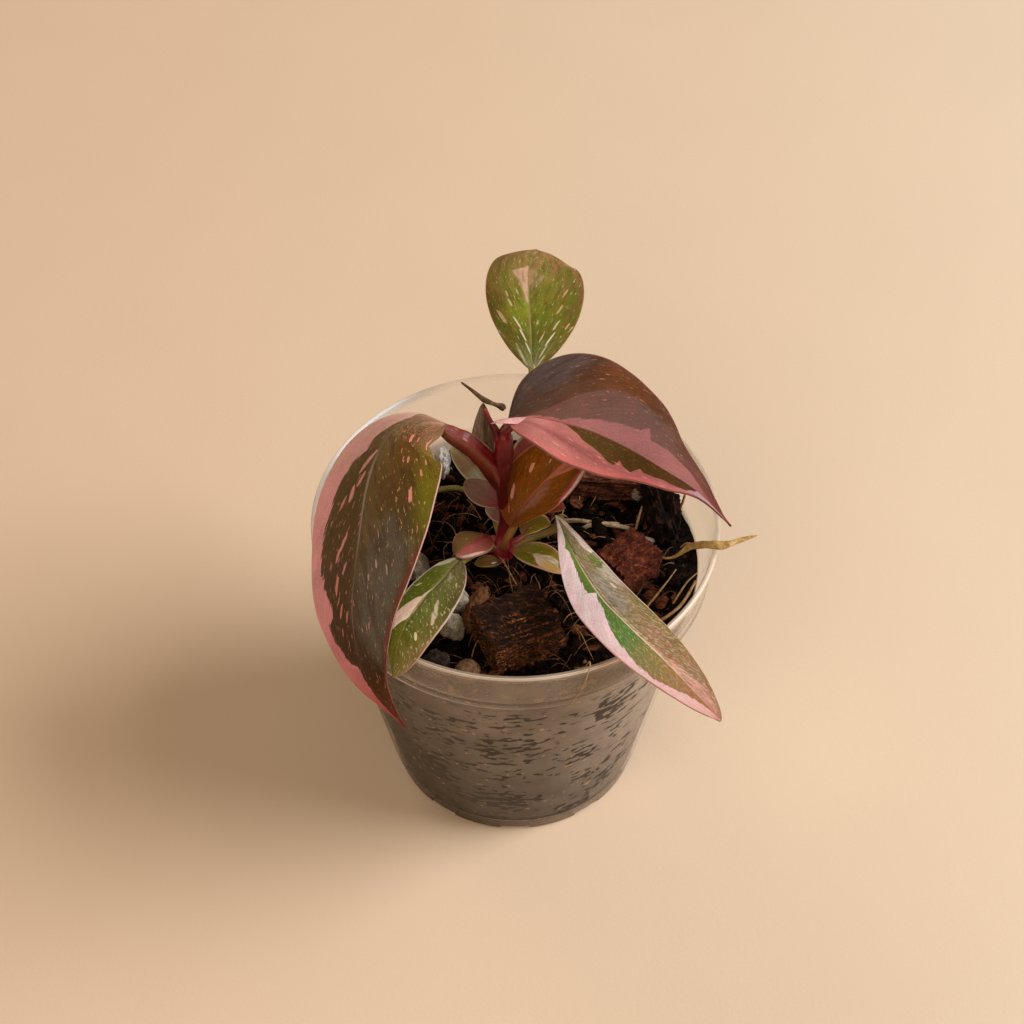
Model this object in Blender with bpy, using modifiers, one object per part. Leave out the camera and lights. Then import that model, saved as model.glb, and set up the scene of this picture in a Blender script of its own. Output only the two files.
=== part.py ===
"""Potted philodendron: a pink and olive variegated plant in a clear nursery pot.

The origin is on the pot's axis at the underside of its floor, +Z is up and the
front of the plant faces -Y. Sizes are in millimetres and turned into metres by MM.
"""

import math

import bmesh
import bpy
import numpy as np
from mathutils import Matrix, Vector, noise

MM = 0.001

# Pot
POT_HEIGHT = 79.0
RIM_RADIUS = 45.0
LIP_WIDTH = 1.2
LIP_DEPTH = 1.4
BAND_FOOT_RADIUS = 43.8
SHOULDER_HEIGHT = 66.5
SHOULDER_RADIUS = 42.2
FOOT_HEIGHT = 5.0
WALL_FOOT_RADIUS = 30.4
BASE_RADIUS = 29.3
WALL = 0.8
FLOOR = 0.9
FLOOR_CORNER = 0.6
POT_STEPS = 48
FOOT_SLOTS = 10
FOOT_SLOT_SIZE = (5, 7, 3)
FLOOR_HOLES = 6
FLOOR_HOLE_RADIUS = 2.5
FLOOR_HOLE_CIRCLE = 15.0

# Potting mix
GAP = 0.3
MIX_CELLS = 22
MIX_RADIUS = 40.0
MIX_MIDDLE = 64.0
MIX_RISE_TO_FRONT = 2.6
MIX_RISE_TO_RIGHT = 1.6
MIX_LUMPS = 1.5
MIX_LUMP_SPACING = 8.0
MIX_FOOT_INSET = 0.1
STEM_HOLE_DEPTH = 11.0
STEM_HOLE_CLEARANCE = 0.6

# Blades
BLADE_THICKNESS = 0.7
ROW_LENGTH = 4.8
LEAST_ROWS = 6
MOST_ROWS = 16
WIDE_HALF = 6.0
BLUNT_TIP = 0.4
RIB_SHARE = 0.6
RIB_TIP_RADIUS = 0.35


class Half:
    """One half of a blade, from the midrib to its margin."""

    def __init__(self, width, swell, taper, lift, curl, lobe=0.0):
        self.width = width
        self.swell = swell
        self.taper = taper
        self.lift = lift
        self.curl = curl
        self.lobe = lobe

    def reach(self, along):
        """Half width at a place along the midrib, 0 at the base and 1 at the tip."""
        widest = self.swell / (self.swell + self.taper)
        rise = (along / widest) ** self.swell
        fall = ((1 - along) / (1 - widest)) ** self.taper
        return max(self.width * rise * fall, BLUNT_TIP)

    def angle(self, along, across):
        """Angle of the blade above its level cross line, in radians."""
        base, middle, tip = self.lift
        bend = (base * (1 - along) * (1 - 2 * along) + 4 * middle * along * (1 - along)
                + tip * along * (2 * along - 1))
        return math.radians(bend + self.curl * across)

    def setback(self, along, across):
        """How far a point lies behind its cross line, where the base is lobed."""
        return self.lobe * self.reach(along) / self.width * across ** 2 * (1 - along) ** 3


# Each leaf: its midrib from base to tip, its left and right halves seen from the
# base, its petiole up to the blade's base, and the petiole's radius.
LEAVES = {
    "leaf_left_large": dict(
        midrib=[(-15, 8, 100), (-21, 8, 102), (-27, 4, 101), (-31, -5, 97.5),
                (-33, -18, 91.5), (-34, -32.5, 84), (-31, -41, 74), (-23.5, -45, 62.5)],
        left=Half(15.2, 0.6, 1.3, (-8, -2, 6), -8, 1.5),
        right=Half(17.6, 0.55, 1.3, (-36, -18, -18), -24, 2),
        petiole=[(-4, 5.6, 84), (-5.4, 6.4, 88), (-8.2, 7, 93), (-11.5, 7.5, 96.6)],
        thick=2.5, colour=(0.16, 0.09, 0.045)),
    "leaf_right_large": dict(
        midrib=[(-1.5, 9.5, 99.5), (4.5, 9.5, 100.5), (14.5, 8.5, 98), (23.5, 6.5, 94.5),
                (32, 3.5, 90.5), (39.5, 1, 86), (47, -4.5, 81)],
        left=Half(19.7, 0.75, 1.65, (17, 20, 4), -18),
        right=Half(14.4, 0.85, 1.9, (18, 9, 28), 2, 3),
        petiole=[(-2.4, 8.2, 97.4), (-1.2, 8.8, 98.6)],
        thick=1.3, colour=(0.24, 0.09, 0.07)),
    "leaf_back": dict(
        midrib=[(4, 34, 90.5), (3.4, 40, 98), (3.2, 46.5, 104.5), (4.2, 53.5, 107.5),
                (7, 59, 105)],
        left=Half(10.2, 0.8, 0.65, (10, 8, 9), -32),
        right=Half(12.5, 0.8, 0.75, (10, 11, 15), -12),
        petiole=[(-1.8, 6, 65), (1.8, 12.5, 70), (3.3, 22.5, 80), (4, 30, 87.3)],
        thick=1.0, colour=(0.10, 0.13, 0.03)),
    "leaf_front_right": dict(
        midrib=[(9, 2.5, 76.5), (13, -11.5, 78.5), (18, -25, 81.5), (23.5, -34.5, 83.5),
                (32, -41.5, 79), (42.5, -50, 71.5)],
        left=Half(7.4, 0.87, 0.66, (17, 10, 14), -34),
        right=Half(7.4, 1.25, 0.9, (30, 11, 14), -20),
        petiole=[(-0.7, 3.2, 65.4), (4, 5, 66.4), (8.6, 5, 69), (10, 4.4, 73.6)],
        thick=0.9, colour=(0.30, 0.26, 0.17)),
    "leaf_front_left": dict(
        midrib=[(-12, -6, 71.7), (-16, -16, 76.4), (-20.8, -26.5, 80.5), (-24, -35.5, 81.6),
                (-25.5, -43.4, 77.8)],
        left=Half(7.6, 0.85, 0.6, (23, 14, 7), -32),
        right=Half(4.3, 0.6, 0.8, (22, 4, -18), -10),
        petiole=[(-4, 1.6, 67), (-6.8, -0.2, 68.1), (-10, -3.5, 70)],
        thick=0.9, colour=(0.11, 0.14, 0.04)),
    "leaf_centre": dict(
        midrib=[(-1, 0.5, 75), (3, 4.5, 80), (10, 8, 87), (15.5, 12, 90.5)],
        left=Half(9.2, 0.62, 0.7, (16, 17, 14), -27),
        right=Half(7, 0.8, 0.7, (26, 20, 15), -28),
        petiole=[(-2.9, 0.4, 67.6), (-2.4, -0.6, 71)],
        thick=0.8, colour=(0.25, 0.12, 0.02)),
    "leaf_upright_pink": dict(
        midrib=[(0.8, 13.9, 73.5), (0.8, 15, 79.3), (1.9, 15.5, 85), (3.4, 15.1, 90.5)],
        left=Half(2.5, 0.7, 0.8, (10, 10, 10), -20),
        right=Half(3.3, 0.7, 0.8, (10, 10, 10), -20),
        petiole=[(-2, 6.8, 72), (-0.4, 10.4, 72.4)],
        thick=0.7, colour=(0.50, 0.28, 0.25)),
    "leaf_small_left": dict(
        midrib=[(-5.9, 3.1, 69), (-8.1, -0.3, 71.5), (-10.8, -4, 73.4), (-13, -6.4, 73)],
        left=Half(3.9, 0.7, 0.6, (5, 0, -5), -10),
        right=Half(4.2, 0.7, 0.6, (20, 25, 20), -40),
        petiole=[(-3, 3, 66), (-4.6, 3.3, 67.5)],
        thick=0.8, colour=(0.22, 0.12, 0.08)),
    "leaf_small_right": dict(
        midrib=[(-0.3, -0.3, 68), (2.8, -2.6, 69.8), (6.8, -5.7, 71), (10.9, -9.2, 70.5)],
        left=Half(3.8, 0.7, 0.8, (20, 15, 10), -20),
        right=Half(3.2, 0.7, 0.8, (20, 15, 10), -30),
        petiole=[(-1.4, 2.2, 66.2), (-0.8, 0.9, 67)],
        thick=0.8, colour=(0.20, 0.20, 0.07)),
    "leaf_folded_green": dict(
        midrib=[(1.7, 3.4, 69), (3, 4.2, 70.8), (5.3, 4.6, 72), (7.7, 4.2, 71.9)],
        left=Half(2.4, 0.7, 0.7, (35, 35, 30), -10),
        right=Half(2.6, 0.7, 0.7, (30, 25, 20), -20),
        petiole=[(-2, 3, 66.8), (0.2, 2.9, 67.8)],
        thick=0.7, colour=(0.14, 0.17, 0.04)),
    "leaf_red_tip": dict(
        midrib=[(4.2, 8.4, 72), (6.6, 8, 73), (9.1, 7.7, 73.7), (11.1, 7.7, 73.4)],
        left=Half(2.4, 0.6, 0.5, (15, 10, 10), -20),
        right=Half(1.7, 0.6, 0.5, (15, 10, 10), -20),
        petiole=[(-1.2, 5.2, 69.6), (1.6, 7.6, 70.8)],
        thick=0.6, colour=(0.22, 0.10, 0.06)),
    "leaf_low_olive": dict(
        midrib=[(-3.4, -1.8, 66), (-5.2, -2.7, 67.2), (-7, -3.3, 67.6), (-9, -3.8, 67.2)],
        left=Half(1.9, 0.7, 0.7, (15, 10, 10), -20),
        right=Half(1.9, 0.7, 0.7, (15, 10, 10), -20),
        petiole=[(-2.8, 0.4, 64.8), (-3, -0.8, 65.2)],
        thick=0.6, colour=(0.10, 0.08, 0.03)),
    "leaf_mauve_upper": dict(
        midrib=[(-3.6, 7.6, 74.6), (-5.9, 9, 75.8), (-8.5, 10.4, 76.8), (-11.2, 12.2, 77.3)],
        left=Half(3.4, 0.6, 0.6, (5, 0, 0), -20),
        right=Half(3.4, 0.6, 0.6, (10, 10, 5), -20),
        petiole=[(-2.9, 5.2, 73.4), (-3.1, 6.4, 74)],
        thick=0.7, colour=(0.33, 0.24, 0.22)),
    "leaf_mauve_lower": dict(
        midrib=[(-2.9, 7.4, 69), (-3.9, 8.5, 70), (-5, 9.6, 70.7), (-6.3, 11, 70.6)],
        left=Half(2.1, 0.6, 0.6, (10, 10, 5), -20),
        right=Half(2, 0.6, 0.6, (10, 10, 5), -20),
        petiole=[(-2.6, 4.6, 67.4), (-2.7, 6, 68.2)],
        thick=0.6, colour=(0.33, 0.24, 0.22)),
    "leaf_pale_back": dict(
        midrib=[(-6, 17.4, 69), (-8.4, 20.2, 71), (-11.6, 23.6, 72.5), (-14.7, 26.6, 73)],
        left=Half(3.4, 0.6, 0.7, (10, 10, 5), -20),
        right=Half(3.4, 0.6, 0.7, (10, 10, 5), -20),
        petiole=[(-3.4, 7.5, 65.4), (-4.6, 12.5, 66.6)],
        thick=0.7, colour=(0.38, 0.38, 0.26)),
    "leaf_under_left": dict(
        midrib=[(-20, 15, 70), (-24, 11, 71.5), (-27.5, 5, 72), (-29, -1.5, 70.5)],
        left=Half(4.5, 0.7, 0.8, (15, 12, 10), -25),
        right=Half(4.5, 0.7, 0.8, (15, 12, 10), -25),
        petiole=[(-4, 5, 66), (-7.5, 12, 66.4), (-12, 16, 67.2), (-16.5, 16.6, 68.2)],
        thick=0.7, colour=(0.14, 0.11, 0.04)),
}

# The stem from its foot in the mix to its top, as (x, y, z, radius)
STEM = [(-2.5, 2, 53.4, 2.1), (-2.5, 2, 62, 2.3), (-2.5, 2.6, 67, 2.3), (-2.6, 4.2, 73, 1.7),
        (-3, 5, 80, 2.1), (-2.7, 6, 88, 2.2), (-2.5, 7.4, 95, 2.1), (-2.4, 8, 98, 1.5)]
HORN = [(-2.7, 7, 94, 1.4), (-4.3, 7.8, 98.5, 1.1), (-5.5, 7.7, 101.5, 0.8), (-6.6, 8, 105, 0.4)]

# The dry sheath: its midrib and its two halves
SHEATH = ([(-7, 25, 60), (-7, 27, 66), (-7.2, 30.5, 73), (-7.4, 34, 80)],
          Half(3.4, 0.5, 0.7, (12, 12, 12), 10), Half(3.2, 0.5, 0.7, (12, 12, 12), 10))

# Loose roots, twig and fibres, as (x, y, z, radius)
STRANDS = {
    "aerial_root": [(30, -2, 68.2, 0.7), (34.5, -5, 71, 0.8), (38.5, -6.5, 76.5, 0.8),
                    (42, -9.5, 80.6, 0.9), (45, -10.2, 81.2, 0.9), (48.5, -9.6, 82.2, 0.8),
                    (52.5, -8.5, 82.6, 0.5)],
    "root_pale": [(13.5, 8.5, 63.8, 0.5), (18, 9, 66.4, 0.5), (23, 8.6, 66.2, 0.5),
                  (28, 9.4, 63.6, 0.5)],
    "root_branch": [(40, -9, 68, 0.4), (35.5, -18, 69.6, 0.45), (29, -22.5, 68.6, 0.45),
                    (24, -23.5, 67, 0.4)],
    "fibre_over_rim": [(12.5, -33.5, 68, 0.35), (14.5, -37, 73, 0.35), (15.3, -40.8, 79.7, 0.35),
                       (15.2, -43, 79.9, 0.35), (13.6, -45.6, 76.5, 0.35), (10.5, -46.4, 70, 0.3)],
    "fibre_right_wall": [(37.6, 13, 67, 0.35), (38.6, 14.2, 72, 0.35), (38.2, 17.4, 78, 0.35),
                         (36, 21.5, 84, 0.3)],
    "dry_twig": [(-12.5, 36.2, 84.8, 0.35), (-10.2, 35.4, 83.1, 0.5), (-7.3, 34.3, 81, 0.65),
                 (-4.4, 34.1, 79.5, 0.65), (-2.1, 34, 78.4, 0.8)],
}
STRAND_COLOURS = {
    "aerial_root": (0.55, 0.38, 0.16), "root_pale": (0.60, 0.50, 0.36),
    "root_branch": (0.42, 0.28, 0.15), "fibre_over_rim": (0.45, 0.30, 0.16),
    "fibre_right_wall": (0.50, 0.36, 0.16), "dry_twig": (0.22, 0.14, 0.08),
}

# Pieces lying in the mix: centre x, y and height of the centre above the mix,
# size along x, y, z, turn in degrees, roughness of outline, boxiness and colour
CHUNKS = {
    "husk_block_front": ((0.5, -24, 2.5), (20, 18, 12), 4, 0.10, 0.8, (0.16, 0.07, 0.03)),
    "husk_chunk_right": ((25, -6, 3), (13, 13, 11), 35, 0.18, 0.4, (0.17, 0.06, 0.03)),
    "husk_strip_back": ((19, 25.5, 2), (21, 6, 7), -8, 0.16, 0.5, (0.20, 0.09, 0.05)),
    "charcoal_right": ((33.5, 11.5, 2.5), (8.5, 17, 11), 12, 0.16, 0.6, (0.03, 0.02, 0.02)),
    "bark_flake": ((-8.5, -16.5, 2.0), (4.5, 12.5, 5), -20, 0.14, 0.4, (0.28, 0.16, 0.08)),
    "bark_front_left": ((-17, -31.8, 1.2), (6, 5.5, 6), 25, 0.15, 0.4, (0.06, 0.04, 0.03)),
    "clay_ball": ((-10.3, -34.6, 2.2), (5.6, 5.6, 5.6), 0, 0.05, 0.0, (0.20, 0.14, 0.10)),
    "pumice_1": ((-13, -13.5, 2.3), (5.5, 6.5, 6), 20, 0.12, 0.1, (0.45, 0.41, 0.36)),
    "pumice_2": ((-14, -21.5, 2.2), (5.2, 6.5, 6), 50, 0.12, 0.1, (0.50, 0.46, 0.40)),
    "pumice_3": ((-17, 28.5, 4.0), (4, 5, 9), 0, 0.12, 0.2, (0.66, 0.66, 0.60)),
    "pumice_4": ((-22.5, -2.5, 2.2), (6, 7.5, 6), 0, 0.12, 0.1, (0.40, 0.37, 0.33)),
    "pumice_5": ((27.8, 19.5, 2.4), (3.5, 3.5, 5.5), 10, 0.12, 0.1, (0.66, 0.62, 0.52)),
    "pumice_6": ((29.5, 4, 1.2), (5.5, 3.4, 3.2), 30, 0.10, 0.1, (0.50, 0.48, 0.42)),
}


def vec(point):
    """A point in millimetres as a vector in metres."""
    return Vector(point[:3]) * MM


def spline(points, count):
    """Evenly spaced points of a smooth curve through the given ones."""
    knots = np.array(points, dtype=float)
    before = 2 * knots[0] - knots[1]
    after = 2 * knots[-1] - knots[-2]
    knots = np.vstack([before, knots, after])
    spans = len(points) - 1
    place = np.linspace(0, spans, 40 * spans + 1)
    start = np.minimum(place.astype(int), spans - 1)
    part = (place - start)[:, None]
    a, b, c, d = (knots[start + step] for step in range(4))
    dense = 0.5 * (2 * b + (c - a) * part + (2 * a - 5 * b + 4 * c - d) * part ** 2
                   + (3 * b - a - 3 * c + d) * part ** 3)
    travelled = np.r_[0, np.cumsum(np.linalg.norm(np.diff(dense[:, :3], axis=0), axis=1))]
    stops = np.linspace(0, travelled[-1], count)
    return np.stack([np.interp(stops, travelled, column) for column in dense.T], -1)


def clear_scene():
    """Remove every object of the starting scene."""
    for thing in list(bpy.data.objects):
        bpy.data.objects.remove(thing, do_unlink=True)


def collection(name):
    """A new collection in the scene."""
    made = bpy.data.collections.new(name)
    bpy.context.scene.collection.children.link(made)
    return made


def material(name, colour, roughness=0.5, alpha=1.0):
    """A Principled material with the piece's plain colour."""
    made = bpy.data.materials.new(name)
    made.use_nodes = True
    shader = made.node_tree.nodes["Principled BSDF"]
    shader.inputs["Base Color"].default_value = (*colour, 1)
    shader.inputs["Roughness"].default_value = roughness
    shader.inputs["Alpha"].default_value = alpha
    return made


def add_object(name, mesh, place, finish=None):
    """An object for a mesh in the given collection."""
    made = bpy.data.objects.new(name, mesh)
    place.objects.link(made)
    if finish:
        mesh.materials.append(finish)
    return made


def mesh_from(bm, name):
    """The mesh data of a bmesh, which is freed."""
    mesh = bpy.data.meshes.new(name)
    bm.to_mesh(mesh)
    bm.free()
    return mesh


def hide_cutter(thing):
    """Mark an object as a cutter."""
    thing.hide_render = True
    thing.display_type = "WIRE"


def boolean(thing, other, operation, solver="EXACT"):
    """Join or cut a piece with another object."""
    step = thing.modifiers.new(operation.lower(), "BOOLEAN")
    step.operation = operation
    step.object = other
    step.solver = solver


def spread(start):
    """Every vertex joined to the given one by edges."""
    found = {start}
    waiting = [start]
    while waiting:
        vert = waiting.pop()
        for edge in vert.link_edges:
            other = edge.other_vert(vert)
            if other not in found:
                found.add(other)
                waiting.append(other)
    return found


def bake(thing):
    """Apply an object's modifiers, and drop the scraps that its cuts left loose."""
    graph = bpy.context.evaluated_depsgraph_get()
    graph.update()
    bm = bmesh.new()
    bm.from_object(thing, graph)
    left = set(bm.verts)
    bodies = []
    while left:
        body = spread(next(iter(left)))
        bodies.append(body)
        left -= body
    whole = max(bodies, key=len)
    scraps = [vert for vert in bm.verts if vert not in whole]
    bmesh.ops.delete(bm, geom=scraps, context="VERTS")
    thing.modifiers.clear()
    bm.to_mesh(thing.data)
    bm.free()


def tube(name, points, place, roundness=1, grow=0.0):
    """A round tube through (x, y, z, radius) points, as a closed mesh object."""
    curve = bpy.data.curves.new(name, "CURVE")
    curve.dimensions = "3D"
    curve.bevel_depth = MM
    curve.bevel_resolution = roundness
    curve.use_fill_caps = True
    path = curve.splines.new("POLY")
    path.points.add(len(points) - 1)
    for knot, (x, y, z, radius) in zip(path.points, points):
        knot.co = (x * MM, y * MM, z * MM, 1)
        knot.radius = radius + grow
    guide = add_object(name + "_path", curve, place)
    graph = bpy.context.evaluated_depsgraph_get()
    mesh = bpy.data.meshes.new_from_object(guide.evaluated_get(graph))
    bpy.data.objects.remove(guide)
    bm = bmesh.new()
    bm.from_mesh(mesh)
    bmesh.ops.remove_doubles(bm, verts=bm.verts, dist=0.00001)
    bmesh.ops.recalc_face_normals(bm, faces=bm.faces)
    bm.to_mesh(mesh)
    bm.free()
    return add_object(name, mesh, place)


def wall_radius(height):
    """Radius of the pot's outer wall below the shoulder."""
    rise = (height - FOOT_HEIGHT) / (SHOULDER_HEIGHT - FOOT_HEIGHT)
    return WALL_FOOT_RADIUS + rise * (SHOULDER_RADIUS - WALL_FOOT_RADIUS)


def build_pot(parts, cutters):
    """The pot: a turned shell with slots round its foot and holes in its floor."""
    inside = [(0, FLOOR), (BASE_RADIUS - WALL - FLOOR_CORNER, FLOOR),
              (WALL_FOOT_RADIUS - WALL, FOOT_HEIGHT),
              (SHOULDER_RADIUS - WALL, SHOULDER_HEIGHT + 0.4),
              (BAND_FOOT_RADIUS - WALL, SHOULDER_HEIGHT + 1.4),
              (RIM_RADIUS - LIP_WIDTH, POT_HEIGHT - 0.3), (RIM_RADIUS - LIP_WIDTH + 0.3, POT_HEIGHT)]
    outside = [(RIM_RADIUS - 0.3, POT_HEIGHT), (RIM_RADIUS, POT_HEIGHT - 0.3),
               (RIM_RADIUS, POT_HEIGHT - LIP_DEPTH), (RIM_RADIUS - 0.5, POT_HEIGHT - LIP_DEPTH - 0.5),
               (BAND_FOOT_RADIUS, SHOULDER_HEIGHT + 0.8), (BAND_FOOT_RADIUS - 0.4, SHOULDER_HEIGHT),
               (SHOULDER_RADIUS, SHOULDER_HEIGHT - 0.5), (WALL_FOOT_RADIUS, FOOT_HEIGHT),
               (WALL_FOOT_RADIUS - 0.7, FOOT_HEIGHT - 0.5), (BASE_RADIUS, FLOOR_CORNER),
               (BASE_RADIUS - FLOOR_CORNER, 0), (0, 0)]
    bm = bmesh.new()
    corners = [bm.verts.new((radius * MM, 0, height * MM)) for radius, height in inside + outside]
    for first, second in zip(corners, corners[1:]):
        bm.edges.new((first, second))
    finish = material("clear_frosted_plastic", (0.55, 0.48, 0.42), 0.35, 0.45)
    pot = add_object("pot", mesh_from(bm, "pot"), parts, finish)
    turn = pot.modifiers.new("turn", "SCREW")
    turn.steps = turn.render_steps = POT_STEPS
    turn.use_merge_vertices = True
    turn.merge_threshold = 0.00001
    boolean(pot, build_drain_cutter(cutters), "DIFFERENCE")


def build_drain_cutter(cutters):
    """Slots through the corner of the foot, and round holes in the floor."""
    bm = bmesh.new()
    for index in range(FOOT_SLOTS):
        turn = Matrix.Rotation(math.tau * (index + 0.5) / FOOT_SLOTS, 4, "Z")
        out = Matrix.Translation(vec((BASE_RADIUS, 0, 0)))
        size = Matrix.Diagonal((*vec(FOOT_SLOT_SIZE), 1))
        bmesh.ops.create_cube(bm, size=1, matrix=turn @ out @ size)
    for index in range(FLOOR_HOLES):
        turn = Matrix.Rotation(math.tau * index / FLOOR_HOLES, 4, "Z")
        out = Matrix.Translation(vec((FLOOR_HOLE_CIRCLE, 0, 0)))
        bmesh.ops.create_cone(bm, cap_ends=True, segments=16, radius1=FLOOR_HOLE_RADIUS * MM,
                              radius2=FLOOR_HOLE_RADIUS * MM, depth=3 * FLOOR * MM,
                              matrix=turn @ out)
    cutter = add_object("drain_cutter", mesh_from(bm, "drain_cutter"), cutters)
    hide_cutter(cutter)
    return cutter


def mix_height(x, y):
    """Height of the mix's uneven top over a point, in millimetres."""
    plane = MIX_MIDDLE + (MIX_RISE_TO_RIGHT * x - MIX_RISE_TO_FRONT * y) / MIX_RADIUS
    lumps = noise.fractal(Vector((x, y, 3)) / MIX_LUMP_SPACING, 0.8, 2, 2)
    edge = max(0, 1 - (math.hypot(x, y) / MIX_RADIUS) ** 6)
    return plane + MIX_LUMPS * lumps * (0.4 + 0.6 * edge)


def square_to_disc(x, y):
    """A point of the square from -1 to 1 moved to the unit disc."""
    if x == 0 and y == 0:
        return 0, 0
    if abs(x) >= abs(y):
        return x * math.cos(math.pi / 4 * y / x), x * math.sin(math.pi / 4 * y / x)
    return y * math.sin(math.pi / 4 * x / y), y * math.cos(math.pi / 4 * x / y)


def build_mix(parts, cutters):
    """The potting mix, and a copy raised by the gap that seats what lies on it."""
    bm = bmesh.new()
    bmesh.ops.create_grid(bm, x_segments=MIX_CELLS, y_segments=MIX_CELLS, size=1)
    for vert in bm.verts:
        x, y = square_to_disc(vert.co.x, vert.co.y)
        radius = wall_radius(mix_height(x * MIX_RADIUS, y * MIX_RADIUS)) - WALL - GAP
        vert.co = vec((x * radius, y * radius, mix_height(x * radius, y * radius)))
    bmesh.ops.triangulate(bm, faces=bm.faces)
    rim = [edge for edge in bm.edges if edge.is_boundary]
    inset = WALL + GAP + MIX_FOOT_INSET
    for height, radius in ((FOOT_HEIGHT, WALL_FOOT_RADIUS - inset),
                           (FLOOR + GAP, BASE_RADIUS - FLOOR_CORNER - inset)):
        grown = bmesh.ops.extrude_edge_only(bm, edges=rim)["geom"]
        for vert in [item for item in grown if isinstance(item, bmesh.types.BMVert)]:
            flat = vert.co.xy.normalized() * radius * MM
            vert.co = (flat.x, flat.y, height * MM)
        rim = [item for item in grown if isinstance(item, bmesh.types.BMEdge)]
    bmesh.ops.contextual_create(bm, geom=rim)
    bmesh.ops.recalc_face_normals(bm, faces=bm.faces)
    shape = mesh_from(bm, "potting_mix")
    raised = shape.copy()
    raised.transform(Matrix.Translation((0, 0, GAP * MM)))
    seat = add_object("mix_seat", raised, cutters)
    hide_cutter(seat)
    mix = add_object("potting_mix", shape, parts, material("bark_mix", (0.035, 0.02, 0.012), 0.95))
    x, y, z, radius = STEM[0]
    bore = (radius + STEM_HOLE_CLEARANCE) * MM
    bm = bmesh.new()
    bmesh.ops.create_cone(bm, cap_ends=True, segments=16, radius1=bore, radius2=bore,
                          depth=2 * STEM_HOLE_DEPTH * MM,
                          matrix=Matrix.Translation(vec((x, y, z - GAP + STEM_HOLE_DEPTH))))
    hole = add_object("stem_hole", mesh_from(bm, "stem_hole"), cutters)
    hide_cutter(hole)
    boolean(mix, hole, "DIFFERENCE")
    return seat


def build_stem(parts, cutters):
    """The crown, stem and horn in one body, and the cutter that seats petioles on it."""
    stem = tube("stem", spline(STEM, 13), parts, roundness=2)
    stem.data.materials.append(material("crimson_stem", (0.16, 0.015, 0.02), 0.35))
    horn = tube("horn", spline(HORN, 5), cutters)
    boolean(stem, horn, "UNION")
    bake(stem)
    bpy.data.objects.remove(horn)
    seat = tube("stem_seat", spline(STEM, 13), cutters, roundness=2, grow=GAP)
    horn_seat = tube("horn_seat", spline(HORN, 5), cutters, grow=GAP)
    boolean(seat, horn_seat, "UNION")
    bake(seat)
    bpy.data.objects.remove(horn_seat)
    hide_cutter(seat)
    return seat


def blade_rows(midrib):
    """How many rows of faces a blade takes for its length."""
    length = np.linalg.norm(np.diff(spline(midrib, 20), axis=0), axis=1).sum()
    return int(min(max(round(length / ROW_LENGTH), LEAST_ROWS), MOST_ROWS))


def blade_surface(midrib, left, right):
    """An open sheet over the blade, split into triangles."""
    rows = blade_rows(midrib)
    columns = 3 if max(left.width, right.width) > WIDE_HALF else 2
    line = spline(midrib, rows + 1)
    ahead = np.gradient(line, axis=0)
    cross = np.cross(ahead[0], (0, 0, 1))
    frames = []
    for tangent in ahead:
        tangent = tangent / np.linalg.norm(tangent)
        cross = cross - tangent * (cross @ tangent)
        cross = cross / np.linalg.norm(cross)
        frames.append((tangent, cross, np.cross(cross, tangent)))
    bm = bmesh.new()
    bmesh.ops.create_grid(bm, x_segments=2 * columns, y_segments=rows, size=1)
    for vert in bm.verts:
        row = round((vert.co.y + 1) / 2 * rows)
        column = round(vert.co.x * columns)
        along = row / rows
        half, side = (right, 1) if column > 0 else (left, -1)
        tangent, level, up = frames[row]
        step = half.reach(along) / columns
        point = line[row].copy()
        for index in range(abs(column)):
            angle = half.angle(along, (index + 0.5) / columns)
            point += (side * level * math.cos(angle) + up * math.sin(angle)) * step
        point -= tangent * half.setback(along, abs(column) / columns)
        vert.co = vec(point)
    bmesh.ops.triangulate(bm, faces=bm.faces, quad_method="FIXED")
    bmesh.ops.recalc_face_normals(bm, faces=bm.faces)
    return bm, line, frames


def build_leaf(name, midrib, left, right, petiole, thick, colour, parts, cutters, seats):
    """One leaf: a solid blade joined with its petiole, which runs on as the midrib."""
    bm, line, frames = blade_surface(midrib, left, right)
    leaf = add_object(name, mesh_from(bm, name), parts, material(name, colour, 0.4))
    solid = leaf.modifiers.new("thickness", "SOLIDIFY")
    solid.thickness = BLADE_THICKNESS * MM
    solid.offset = 0
    rib = []
    last = round(len(line) * RIB_SHARE)
    for index in range(1, last + 1):
        radius = thick + (RIB_TIP_RADIUS - thick) * index / last
        point = line[index] - frames[index][2] * max(radius - 0.2, 0.15)
        rib.append((*point, radius))
    stalk = [(*point, thick) for point in petiole] + [rib[0]]
    whole = list(spline(stalk, 3 * len(petiole) + 1)) + rib[1:]
    stalk_piece = tube(name + "_stalk", whole, cutters)
    boolean(leaf, stalk_piece, "UNION", "MANIFOLD")
    for seat in seats:
        boolean(leaf, seat, "DIFFERENCE", "MANIFOLD")
    bake(leaf)
    bpy.data.objects.remove(stalk_piece)


def build_chunk(name, centre, size, turn, ragged, boxy, colour, parts, seat):
    """A lump of husk, bark or stone, cut to lie on the mix."""
    x, y, lift = centre
    bm = bmesh.new()
    bmesh.ops.create_icosphere(bm, subdivisions=2, radius=1)
    for vert in bm.verts:
        way = vert.co.normalized()
        reach = 1 / max(abs(axis) for axis in way) * 0.78
        reach = 1 + boxy * (reach - 1)
        dent = noise.noise(way * 1.7 + Vector((x, y, lift))) * ragged * 2
        vert.co = Vector(axis * span / 2 * MM for axis, span in zip(way * (reach + dent), size))
    place = Matrix.Translation(vec((x, y, mix_height(x, y) + lift)))
    bm.transform(place @ Matrix.Rotation(math.radians(turn), 4, "Z"))
    chunk = add_object(name, mesh_from(bm, name), parts, material(name, colour, 0.9))
    boolean(chunk, seat, "DIFFERENCE")


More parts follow.
